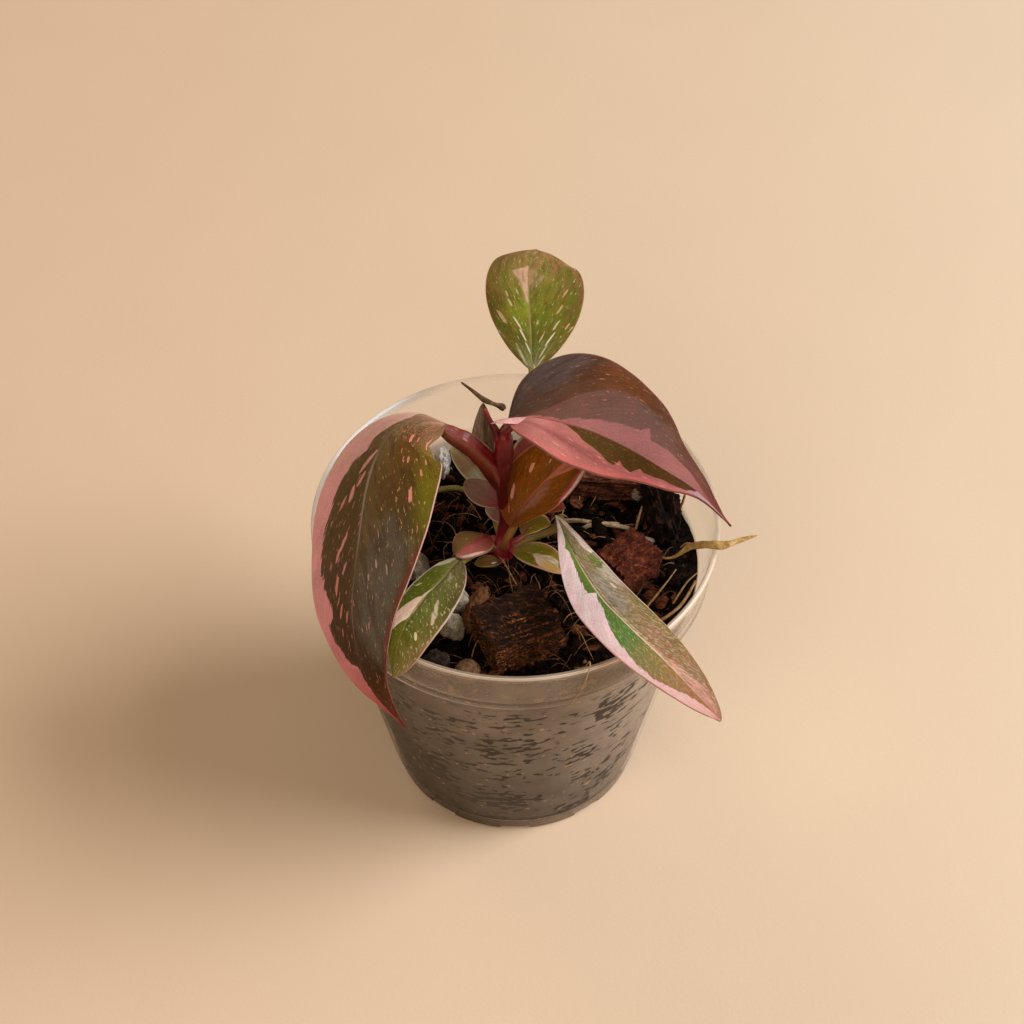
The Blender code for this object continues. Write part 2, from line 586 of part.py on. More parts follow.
def build_sheath(parts, seat):
    """The dry sheath: a thin upright spear of dead leaf behind the stem."""
    bm, _, _ = blade_surface(*SHEATH)
    sheath = add_object("dry_sheath", mesh_from(bm, "dry_sheath"), parts,
                        material("dry_sheath", (0.30, 0.19, 0.12), 0.7))
    solid = sheath.modifiers.new("thickness", "SOLIDIFY")
    solid.thickness = BLADE_THICKNESS * MM
    solid.offset = 0
    boolean(sheath, seat, "DIFFERENCE")


def build_strands(parts, seat):
    """Roots, fibres and the twig, each a tube cut where it enters the mix."""
    for name, points in STRANDS.items():
        strand = tube(name, spline(points, 3 * len(points) - 2), parts)
        strand.data.materials.append(material(name, STRAND_COLOURS[name], 0.7))
        boolean(strand, seat, "DIFFERENCE")


def main():
    """Build the whole plant in its pot."""
    clear_scene()
    parts = collection("potted_philodendron")
    cutters = collection("cutters")
    build_pot(parts, cutters)
    mix_seat = build_mix(parts, cutters)
    stem_seat = build_stem(parts, cutters)
    for name, sizes in LEAVES.items():
        build_leaf(name, **sizes, parts=parts, cutters=cutters, seats=(stem_seat, mix_seat))
    for name, sizes in CHUNKS.items():
        build_chunk(name, *sizes, parts=parts, seat=mix_seat)
    build_sheath(parts, mix_seat)
    build_strands(parts, mix_seat)


main()
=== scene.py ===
"""Looks of the potted philodendron: its leaves, stem, pot, potting mix and studio.

Sizes are in millimetres and are turned into metres where a mesh is made. A blade is
drawn along its midrib, with a left and a right half as seen from its base. Patterns
on a blade use its UV map: x runs from the left margin to the right one, and y from
the base to the tip.
"""

from __future__ import annotations

import logging
import math
import random
from collections.abc import Iterable
from dataclasses import dataclass
from enum import Enum

import bmesh
import bpy
import numpy as np
from mathutils import Matrix, Vector, noise

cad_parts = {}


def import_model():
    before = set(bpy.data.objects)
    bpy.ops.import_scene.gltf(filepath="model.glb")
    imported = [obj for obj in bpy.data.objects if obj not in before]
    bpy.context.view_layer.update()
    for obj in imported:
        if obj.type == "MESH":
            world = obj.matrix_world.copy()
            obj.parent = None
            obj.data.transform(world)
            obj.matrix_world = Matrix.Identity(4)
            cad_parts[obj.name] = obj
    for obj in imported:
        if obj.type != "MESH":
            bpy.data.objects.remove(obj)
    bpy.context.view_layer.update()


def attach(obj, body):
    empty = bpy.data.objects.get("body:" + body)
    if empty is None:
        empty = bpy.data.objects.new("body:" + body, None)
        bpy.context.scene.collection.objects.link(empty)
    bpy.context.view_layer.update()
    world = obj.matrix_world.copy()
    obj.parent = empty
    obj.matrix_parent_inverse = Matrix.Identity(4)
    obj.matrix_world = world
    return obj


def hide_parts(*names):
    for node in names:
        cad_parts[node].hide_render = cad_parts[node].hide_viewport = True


LOG = logging.getLogger("philodendron")
MM = 0.001

Point = tuple[float, ...]
Colour = tuple[float, float, float]
Shade = tuple[int, int, int]
Line = tuple[tuple[float, float], ...]
Tones = tuple[tuple[float, Colour], ...]


def rgb(red: int, green: int, blue: int) -> Colour:
    """Linear colour of a display colour whose parts run from 0 to 255."""
    parts = (part / 255 for part in (red, green, blue))
    return tuple(((part + 0.055) / 1.055) ** 2.4 if part > 0.04 else part / 12.92 for part in parts)


def tones(*stops: tuple[float, int, int, int]) -> Tones:
    """Colours at places from 0 to 1, each given as place, red, green and blue."""
    return tuple((place, rgb(*parts)) for place, *parts in stops)


def flat(red: int, green: int, blue: int) -> Tones:
    """One colour all the way."""
    return tones((0, red, green, blue))


class Sock:
    """A shader value that takes part in Python expressions."""

    def __init__(self, paint: Paint, socket: bpy.types.NodeSocket) -> None:
        """Keep the socket with the paint that its nodes go to."""
        self.paint = paint
        self.socket = socket

    def __add__(self, other: Sock | float) -> Sock:
        """Sum of two values."""
        return self.paint.math("ADD", self, other)

    def __sub__(self, other: Sock | float) -> Sock:
        """This value less the other."""
        return self.paint.math("SUBTRACT", self, other)

    def __rsub__(self, other: float) -> Sock:
        """The number less this value."""
        return self.paint.math("SUBTRACT", other, self)

    def __mul__(self, other: Sock | float) -> Sock:
        """Product of two values."""
        return self.paint.math("MULTIPLY", self, other)

    __radd__ = __add__
    __rmul__ = __mul__


Value = Sock | float


class Paint:
    """A procedural material whose nodes are made from Python expressions."""

    def __init__(self, name: str) -> None:
        """Start an empty material.

        Args:
            name: Name of the material.
        """
        self.material = bpy.data.materials.new(name)
        self.material.use_nodes = True
        self.tree = self.material.node_tree
        self.tree.nodes.clear()

    def node(self, kind: str, settings: dict | None = None, **inputs: object) -> bpy.types.Node:
        """Add a node, give it its settings, then its inputs.

        Args:
            kind: Type of the node.
            settings: Values of its properties; stops are the colours of a ramp.
            inputs: Values or links by socket name, with _ for a space, or in_ and a number.

        Returns:
            The node.
        """
        made = self.tree.nodes.new(kind)
        for name, value in (settings or {}).items():
            if name == "stops":
                self.set_stops(made.color_ramp, value)
            else:
                setattr(made, name, value)
        for name, value in inputs.items():
            key = int(name[3:]) if name.startswith("in_") else name.replace("_", " ")
            socket = made.inputs[key]
            if isinstance(value, Sock):
                self.tree.links.new(value.socket, socket)
            elif socket.type == "RGBA":
                socket.default_value = (*value, 1)
            else:
                socket.default_value = value
        return made

    @staticmethod
    def set_stops(ramp: bpy.types.ColorRamp, stops: Tones) -> None:
        """Give a colour ramp its stops."""
        for place, colour in stops[2:]:
            ramp.elements.new(place).color = (*colour, 1)
        for element, (place, colour) in zip(sorted(ramp.elements, key=lambda e: e.position), stops):
            element.position = place
            element.color = (*colour, 1)

    def sock(self, made: bpy.types.Node, output: str | int = 0) -> Sock:
        """One output of a node."""
        return Sock(self, made.outputs[output])

    def math(self, operation: str, first: Value, second: Value = 0.0) -> Sock:
        """A Math node on one or two values."""
        made = self.node("ShaderNodeMath", {"operation": operation}, in_0=first, in_1=second)
        return self.sock(made)

    def step(self, value: Value, edge: Value, soft: float) -> Sock:
        """0 below an edge and 1 above it, with a soft change of the given half width."""
        past = self.math("SUBTRACT", value, edge)
        made = self.node("ShaderNodeMapRange", {"interpolation_type": "SMOOTHSTEP"}, Value=past,
                         From_Min=-soft, From_Max=soft)
        return self.sock(made)

    def ramp(self, place: Value, stops: Tones) -> Sock:
        """A colour that follows stops from 0 to 1."""
        if len(stops) == 1:
            stops = (stops[0], (1.0, stops[0][1]))
        return self.sock(self.node("ShaderNodeValToRGB", {"stops": stops}, Fac=place))

    def line(self, place: Value, stops: Line) -> Sock:
        """A number that follows stops from 0 to 1."""
        return self.ramp(place, tuple((at, (level,) * 3) for at, level in stops))

    def mix(self, share: Value, first: Sock | Colour, second: Sock | Colour,
            blend: str = "MIX") -> Sock:
        """A mix of two colours."""
        made = self.node("ShaderNodeMix", {"data_type": "RGBA", "blend_type": blend},
                         in_0=share, in_6=first, in_7=second)
        return self.sock(made, 2)

    def times(self, colour: Sock | Colour, factor: Sock) -> Sock:
        """A colour multiplied by a vector."""
        return self.mix(1.0, colour, factor, "MULTIPLY")

    def shaded(self, colour: Sock | Colour, level: Value) -> Sock:
        """A colour multiplied by a number."""
        return self.times(colour, self.vector(level, level, level))

    def vector(self, x: Value, y: Value, z: Value = 0.0) -> Sock:
        """A vector of three values."""
        return self.sock(self.node("ShaderNodeCombineXYZ", X=x, Y=y, Z=z))

    def parts(self, vector: Sock) -> tuple[Sock, Sock, Sock]:
        """The three values of a vector."""
        made = self.node("ShaderNodeSeparateXYZ", Vector=vector)
        return tuple(self.sock(made, axis) for axis in range(3))

    def noise(self, place: Sock, scale: float = 1.0, detail: float = 2.0, rough: float = 0.5) -> Sock:
        """Cloudy noise from 0 to 1 around 0.5."""
        made = self.node("ShaderNodeTexNoise", Vector=place, Scale=scale, Detail=detail,
                         Roughness=rough)
        return self.sock(made)

    def cells(self, place: Sock, scale: float) -> Sock:
        """Distance to the middle of the nearest cell."""
        return self.sock(self.node("ShaderNodeTexVoronoi", Vector=place, Scale=scale), "Distance")

    def millimetres(self, stretch: Point = (1, 1, 1)) -> Sock:
        """Place in the object in millimetres, with each axis multiplied by its stretch."""
        place = self.sock(self.node("ShaderNodeTexCoord"), "Object")
        scale = tuple(factor / MM for factor in stretch)
        made = self.node("ShaderNodeVectorMath", {"operation": "MULTIPLY"}, in_0=place, in_1=scale)
        return self.sock(made)

    def uv(self) -> tuple[Sock, Sock]:
        """Place on the piece's UV map."""
        place = self.sock(self.node("ShaderNodeUVMap", {"uv_map": "UVMap"}))
        across, along, _ = self.parts(place)
        return across, along

    def bump(self, height: Value, depth: float) -> Sock:
        """A normal tilted by a height map, where a height of 1 is depth millimetres."""
        return self.sock(self.node("ShaderNodeBump", Height=height, Distance=depth * MM))

    def finish(self, **inputs: object) -> bpy.types.Material:
        """Close the material with a Principled shader that has the given inputs."""
        shader = self.node("ShaderNodeBsdfPrincipled", **inputs)
        self.node("ShaderNodeOutputMaterial", Surface=self.sock(shader))
        return self.material


class Side(Enum):
    """Half of a blade as seen from its base, by its sign across the blade."""

    LEFT = -1
    BOTH = 0
    RIGHT = 1


@dataclass(frozen=True)
class Half:
    """One half of a blade, from the midrib to its margin."""

    width: float
    swell: float
    taper: float
    lift: tuple[float, float, float]
    curl: float
    lobe: float = 0.0

    def reach(self, along: float) -> float:
        """Half width at a place along the midrib, 0 at the base and 1 at the tip."""
        widest = self.swell / (self.swell + self.taper)
        along = min(max(along, 0.0), 1.0)
        rise = (along / widest) ** self.swell
        fall = ((1 - along) / (1 - widest)) ** self.taper
        return max(self.width * rise * fall, 0.05)

    def angle(self, along: float, across: float) -> float:
        """Angle of the blade above its level cross line, in radians."""
        base, middle, tip = self.lift
        bend = (base * (1 - along) * (1 - 2 * along) + 4 * middle * along * (1 - along)
                + tip * along * (2 * along - 1))
        return math.radians(bend + self.curl * across)

    def setback(self, along: float, across: float) -> float:
        """How far a point lies behind its cross line, where the base is lobed."""
        return self.lobe * self.reach(along) / self.width * across ** 2 * (1 - along) ** 3


@dataclass(frozen=True)
class Band:
    """A coloured sector of a half blade between two lines that run along it."""

    side: Side
    colour: Tones
    inner: Line = ()
    outer: Line = ()
    ragged: float = 0.12
    soft: float = 0.02


@dataclass(frozen=True)
class Flecks:
    """Small marks drawn out along the veins of a blade."""

    colour: Shade
    level: float
    size: tuple[float, float]
    side: Side = Side.BOTH
    inner: Line = ()
    outer: Line = ()
    seed: float = 0.0
    cover: float = 0.8


@dataclass(frozen=True)
class Spot:
    """One larger mark on a half blade: its place along and across, and its size."""

    side: Side
    along: float
    across: float
    length: float
    width: float
    colour: Shade


def marks(side: Side, *given: tuple[float, ...]) -> tuple[Spot, ...]:
    """Larger marks of one half, each as along, across, length, width, red, green and blue."""
    return tuple(Spot(side, *mark[:4], mark[4:]) for mark in given)


@dataclass(frozen=True)
class VeinSpace:
    """Places on a blade: from 0 to 1, in millimetres, and across its veins."""

    along: Sock
    across: Sock
    right: Sock
    out: Sock
    vein: Sock
    jag: Sock
    torn: Sock

    def on(self, side: Side) -> Value:
        """1 on a side of the blade and 0 on the other."""
        return {Side.RIGHT: self.right, Side.LEFT: 1 - self.right, Side.BOTH: 1.0}[side]


@dataclass(frozen=True)
class LeafFinish:
    """Variegated surface of one leaf, above and below."""

    ground: Tones
    edge: Tones = ()
    bands: tuple[Band, ...] = ()
    flecks: tuple[Flecks, ...] = ()
    spots: tuple[Spot, ...] = ()
    rib: Tones = ()
    rib_width: float = 0.35
    margin: Tones = ()
    margin_width: float = 0.3
    below: Tones = flat(120, 95, 85)
    slant: float = 1.6
    vein_gap: float = 5.0
    vein_tint: float = 0.05
    gloss: float = 0.40

    def space(self, paint: Paint, length: float, width: float) -> VeinSpace:
        """Work out the places that the patterns of a blade use.

        Args:
            paint: The material.
            length: Length of the blade in millimetres.
            width: Mean width of its halves in millimetres.

        Returns:
            The places.
        """
        sideways, along = paint.uv()
        signed = (sideways - 0.5) * 2
        across = paint.math("ABSOLUTE", signed)
        out = across * width
        vein = along * length - out * self.slant
        right = paint.step(signed, 0.0, 0.004)
        jag = paint.noise(paint.vector(vein * 0.55, right * 9), 1.0, 3.0, 0.6) - 0.5
        torn = paint.noise(paint.vector(vein * 0.8, out * 0.5, right * 7), 1.0, 3.0, 0.65) - 0.5
        return VeinSpace(along, across, right, out, vein, jag, torn)

    def sector(self, paint: Paint, space: VeinSpace, side: Side, inner: Line, outer: Line,
               ragged: float, soft: float) -> Value:
        """How much of a place lies in a sector of the blade."""
        mask = space.on(side)
        place = space.across + (space.jag + space.torn * 0.5) * ragged
        if inner:
            mask = paint.step(place, paint.line(space.along, inner), soft) * mask
        if outer:
            mask = (1 - paint.step(place, paint.line(space.along, outer), soft)) * mask
        return mask

    def upper_colour(self, paint: Paint, space: VeinSpace) -> Sock:
        """Colour of the upper side: its ground, sectors and flecks."""
        colour = paint.ramp(space.along, self.ground)
        if self.edge:
            toward = paint.step(space.across + space.jag * 0.25, 0.62, 0.35)
            colour = paint.mix(toward, colour, paint.ramp(space.along, self.edge))
        for band in self.bands:
            mask = self.sector(paint, space, band.side, band.inner, band.outer, band.ragged,
                               band.soft)
            colour = paint.mix(mask, colour, paint.ramp(space.along, band.colour))
        lean = math.hypot(1, self.slant)
        for mark in self.flecks:
            wide, long = mark.size
            place = paint.vector(space.vein * (1 / wide / lean), space.out * (lean / long),
                                 space.right * 5 + mark.seed)
            mask = paint.step(paint.noise(place, 1.0, 2.0, 0.55), mark.level, 0.035)
            region = self.sector(paint, space, mark.side, mark.inner, mark.outer, 0.2, 0.1)
            colour = paint.mix(mask * region * mark.cover, colour, rgb(*mark.colour))
        return colour

    def add_spots(self, paint: Paint, space: VeinSpace, colour: Sock, length: float,
                  width: float) -> Sock:
        """Lay the larger marks over a colour."""
        lean = math.hypot(1, self.slant)
        for spot in self.spots:
            out = spot.across * width
            vein = spot.along * length - out * self.slant
            over = paint.math("ABSOLUTE", space.vein - vein) * (1 / spot.width / lean)
            past = paint.math("ABSOLUTE", space.out - out) * (lean / spot.length)
            far = paint.math("POWER", over, 1.6) + paint.math("POWER", past, 1.6) + space.torn * 2.4
            mask = (1 - paint.step(far, 1.0, 0.15)) * space.on(spot.side)
            colour = paint.mix(mask, colour, rgb(*spot.colour))
        return colour

    def above(self, name: str, length: float, width: float) -> bpy.types.Material:
        """The material of the upper side.

        Args:
            name: Name of the material.
            length: Length of the blade in millimetres.
            width: Mean width of its halves in millimetres.

        Returns:
            The material.
        """
        paint = Paint(name)
        space = self.space(paint, length, width)
        colour = self.add_spots(paint, space, self.upper_colour(paint, space), length, width)
        fibre = paint.noise(paint.vector(space.vein * 1.7, space.out * 0.3, space.right * 3), 1, 3)
        cloud = paint.noise(paint.millimetres(), 0.16, 2)
        lines = paint.math("PINGPONG", space.vein + cloud * 3, self.vein_gap / 2)
        vein = (1 - paint.step(lines, 0.35, 0.35)) * paint.step(space.out, 1.0, 1.0)
        speck = paint.noise(paint.millimetres(), 2.6, 1.0)
        blush = paint.noise(paint.vector(space.vein * 0.6, space.out * 0.4, 6.0), 1, 3, 0.6) - 0.5
        tint = fibre * 0.4 + cloud * 0.5 + speck * 0.5 + vein * self.vein_tint + 0.3
        tinted = paint.vector(tint + blush * 0.5, tint - blush * 0.5, tint)
        colour = paint.times(colour, tinted)
        if self.rib:
            near = paint.line(space.along, ((0, 1), (0.7, 0.45), (1, 0.1))) * self.rib_width
            mask = 1 - paint.step(space.out + space.jag * 0.1, near, 0.10)
            colour = paint.mix(mask, colour, paint.ramp(space.along, self.rib))
        if self.margin:
            left = (1 - space.across) * width + space.jag * 0.25
            mask = 1 - paint.step(left, self.margin_width, 0.08)
            colour = paint.mix(mask, colour, paint.ramp(space.along, self.margin))
        skin = paint.cells(paint.millimetres(), 3.4)
        height = vein * -0.15 + fibre * 0.5 + cloud * 1.5 + skin * 0.2
        return paint.finish(Base_Color=colour, Roughness=cloud * 0.2 + (self.gloss - 0.04),
                            Normal=paint.bump(height, 0.10), Specular_IOR_Level=0.13,
                            Subsurface_Weight=0.12, Subsurface_Scale=MM,
                            Subsurface_Radius=(1.2, 0.6, 0.4))

    def under(self, name: str, length: float, width: float) -> bpy.types.Material:
        """The material of the underside, with the same arguments as the upper one."""
        paint = Paint(name)
        space = self.space(paint, length, width)
        cloud = paint.noise(paint.millimetres(), 0.3, 3)
        lines = paint.math("PINGPONG", space.vein + cloud, self.vein_gap / 2)
        vein = 1 - paint.step(lines, 0.2, 0.2)
        tint = cloud * 0.6 + vein * 0.12 + 0.66
        colour = paint.shaded(paint.ramp(space.along, self.below), tint)
        return paint.finish(Base_Color=colour, Roughness=0.55,
                            Normal=paint.bump(vein + cloud * 0.6, 0.12))


@dataclass(frozen=True)
class Grain:
    """A natural surface in three tones, with blotches, grain, pits and relief."""

    name: str
    colours: tuple[Shade, Shade, Shade]
    blotch: float = 2.0
    stretch: Point = (1, 1, 1)
    pits: float = 0.0
    roughness: float = 0.85
    relief: float = 0.3
    middle: float = 0.5
    shine: float = 0.22

    def make(self) -> bpy.types.Material:
        """Make the material."""
        paint = Paint(self.name)
        place = paint.millimetres(self.stretch)
        cloud = paint.noise(place, 1 / self.blotch, 4, 0.62)
        fine = paint.noise(place, 5 / self.blotch, 3, 0.6)
        level = cloud * 0.7 + fine * 0.5 - 0.1
        dark, mid, light = (rgb(*shade) for shade in self.colours)
        low = self.middle
        colour = paint.ramp(level, ((low - 0.16, dark), (low, mid), (low + 0.18, light)))
        height = fine + cloud
        if self.pits:
            holes = paint.cells(place, 2.2)
            height = height + holes * self.pits
            # Darkened pits: painted shade in the hollows.
            colour = paint.mix((1 - paint.step(holes, 0.3, 0.2)) * 0.55, colour, dark)
        return paint.finish(Base_Color=colour, Roughness=fine * 0.3 + (self.roughness - 0.15),
                            Normal=paint.bump(height, self.relief), Specular_IOR_Level=self.shine)


@dataclass(frozen=True)
class Stalk:
    """Waxy skin of a stem or petiole, whose UV map runs round it and along it."""

    name: str
    along: Tones
    groove: Tones = ()
    edge: Tones = ()
    gloss: float = 0.34

    def make(self) -> bpy.types.Material:
        """Make the material."""
        paint = Paint(self.name)
        round_it, along = paint.uv()
        streak = paint.noise(paint.vector(round_it * 9, along * 2.5), 1.6, 3)
        cloud = paint.noise(paint.millimetres(), 0.5, 3)
        colour = paint.ramp(along + cloud * 0.1 - 0.05, self.along)
        upward = paint.math("ABSOLUTE", round_it - 0.25)
        if self.groove:
            mask = 1 - paint.step(upward + cloud * 0.08, 0.15, 0.05)
            colour = paint.mix(mask, colour, paint.ramp(along, self.groove))
        if self.edge:
            mask = 1 - paint.step(paint.math("ABSOLUTE", upward - 0.15) + cloud * 0.04, 0.05, 0.02)
            colour = paint.mix(mask, colour, paint.ramp(along, self.edge))
        tint = streak * 0.7 + cloud * 0.5 + 0.4
        colour = paint.shaded(colour, tint)
        return paint.finish(Base_Color=colour, Roughness=streak * 0.2 + (self.gloss - 0.08),
                            Normal=paint.bump(streak + cloud, 0.15))


def spline(points: Iterable[Point], count: int) -> np.ndarray:
    """Evenly spaced points of a smooth curve.

    Args:
        points: Points that the curve passes through, with a radius or without.
        count: Number of points to give back.

    Returns:
        The points, one in each row.
    """
    knots = np.array(list(points), dtype=float)
    spans = len(knots) - 1
    knots = np.vstack([2 * knots[0] - knots[1], knots, 2 * knots[-1] - knots[-2]])
    place = np.linspace(0, spans, 40 * spans + 1)
    start = np.minimum(place.astype(int), spans - 1)
    part = (place - start)[:, None]
    a, b, c, d = (knots[start + step] for step in range(4))
    dense = 0.5 * (2 * b + (c - a) * part + (2 * a - 5 * b + 4 * c - d) * part ** 2
                   + (3 * b - a - 3 * c + d) * part ** 3)
    travelled = np.r_[0, np.cumsum(np.linalg.norm(np.diff(dense[:, :3], axis=0), axis=1))]
    stops = np.linspace(0, travelled[-1], count)
    return np.stack([np.interp(stops, travelled, column) for column in dense.T], -1)


def length_of(points: Iterable[Point]) -> float:
    """Length of the smooth curve through some points."""
    return float(np.linalg.norm(np.diff(spline(points, 60)[:, :3], axis=0), axis=1).sum())


def frames(line: np.ndarray) -> list[tuple[np.ndarray, np.ndarray, np.ndarray]]:
    """Directions ahead, level to the right, and up, carried along a line of points."""
    ahead = np.gradient(line[:, :3], axis=0)
    cross = np.cross(ahead[0], (0, 0, 1))
    if np.linalg.norm(cross) < 0.2 * np.linalg.norm(ahead[0]):
        cross = np.array((1.0, 0.0, 0.0))
    found = []
    for tangent in ahead:
        tangent = tangent / np.linalg.norm(tangent)
        cross = cross - tangent * (cross @ tangent)
        cross = cross / np.linalg.norm(cross)
        found.append((tangent, cross, np.cross(cross, tangent)))
    return found


def new_mesh() -> bmesh.types.BMesh:
    """An empty mesh with a UV map."""
    bm = bmesh.new()
    bm.loops.layers.uv.new("UVMap")
    return bm


def sweep(bm: bmesh.types.BMesh, points: Iterable[Point], around: int = 10, cell: float = 0.8,
          groove: float = 0.0, wobble: float = 0.0, blunt: bool = True,
          section: tuple[float, float] = (1.0, 1.0)) -> None:
    """Add a round strand along points, closed at both ends.

    Args:
        bm: Mesh to add to.
        points: Places and radii in millimetres.
        around: Faces round the strand.
        cell: Length of a face along it.
        groove: Depth of the channel on its upper side, as a share of the radius.
        wobble: Unevenness of its surface, as a share of the radius.
        blunt: Whether the ends are rounded off; otherwise they run out to points.
        section: Factors on the radius level and upwards, which flatten the strand.
    """
    points = list(points)
    rows = max(4, round(length_of(points) / cell))
    line = spline(points, rows + 1)
    ways = frames(line)
    grid = bmesh.ops.create_grid(bm, x_segments=around, y_segments=rows, size=1, calc_uvs=True)
    step = length_of(points) / rows
    for vert in grid["verts"]:
        row = round((vert.co.y + 1) / 2 * rows)
        turn = math.pi * (vert.co.x + 1)
        _, level, up = ways[row]
        x, y, z, radius = line[row]
        end = min(row, rows - row) * step
        if blunt:
            radius *= math.sqrt(max(0.0, 1 - max(0.0, 1 - end / max(radius, 0.01)) ** 2))
        elif end == 0:
            radius = 0
        middle = np.array((x, y, z))
        out = level * math.cos(turn) * section[0] + up * math.sin(turn) * section[1]
        if groove:
            away = math.atan2(math.sin(turn - math.pi / 2), math.cos(turn - math.pi / 2))
            radius *= 1 - groove * math.exp(-(away / 0.55) ** 2)
        if wobble:
            radius *= 1 + wobble * noise.noise(Vector(middle * 0.45 + out * 1.1))
        vert.co = Vector(middle + out * radius) * MM


def placed(name: str, bm: bmesh.types.BMesh) -> bpy.types.Object:
    """An object in the scene with the given mesh, which is freed."""
    mesh = bpy.data.meshes.new(name)
    bm.to_mesh(mesh)
    bm.free()
    thing = bpy.data.objects.new(name, mesh)
    bpy.context.scene.collection.objects.link(thing)
    return thing


def thicken(sheet: bpy.types.Object, thickness: float, lower: int = 0) -> None:
    """Give an open sheet a thickness.

    Args:
        sheet: The piece.
        thickness: Its thickness in millimetres.
        lower: Steps from its upper material to the one of its underside and rim.
    """
    wall = sheet.modifiers.new("thickness", "SOLIDIFY")
    wall.thickness = thickness * MM
    wall.offset = 0
    wall.material_offset = lower
    wall.material_offset_rim = lower


def shown(name: str, bm: bmesh.types.BMesh, finishes: list[bpy.types.Material],
          replaced: tuple[str, ...] = (), sharp: float = 50.0) -> bpy.types.Object:
    """Turn a mesh into a finished piece of the plant.

    Args:
        name: Name of the piece.
        bm: Its mesh, in place; it is freed.
        finishes: Its materials.
        replaced: Nodes of the model that it stands for.
        sharp: Angle in degrees from which an edge stays sharp.

    Returns:
        The piece.
    """
    for face in bm.faces:
        face.smooth = True
    for edge in bm.edges:
        edge.smooth = (len(edge.link_faces) == 2
                       and edge.calc_face_angle(0.0) < math.radians(sharp))
    piece = placed(name, bm)
    for finish in finishes:
        piece.data.materials.append(finish)
    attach(piece, "root")
    if replaced:
        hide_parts(*replaced)
    LOG.info("%s: %d faces", name, len(piece.data.polygons))
    return piece


def merge(bm: bmesh.types.BMesh) -> None:
    """Close seams and poles, and turn the faces outwards."""
    bmesh.ops.remove_doubles(bm, verts=bm.verts, dist=1e-7)
    bmesh.ops.dissolve_degenerate(bm, dist=1e-8, edges=bm.edges)
    bmesh.ops.recalc_face_normals(bm, faces=bm.faces)


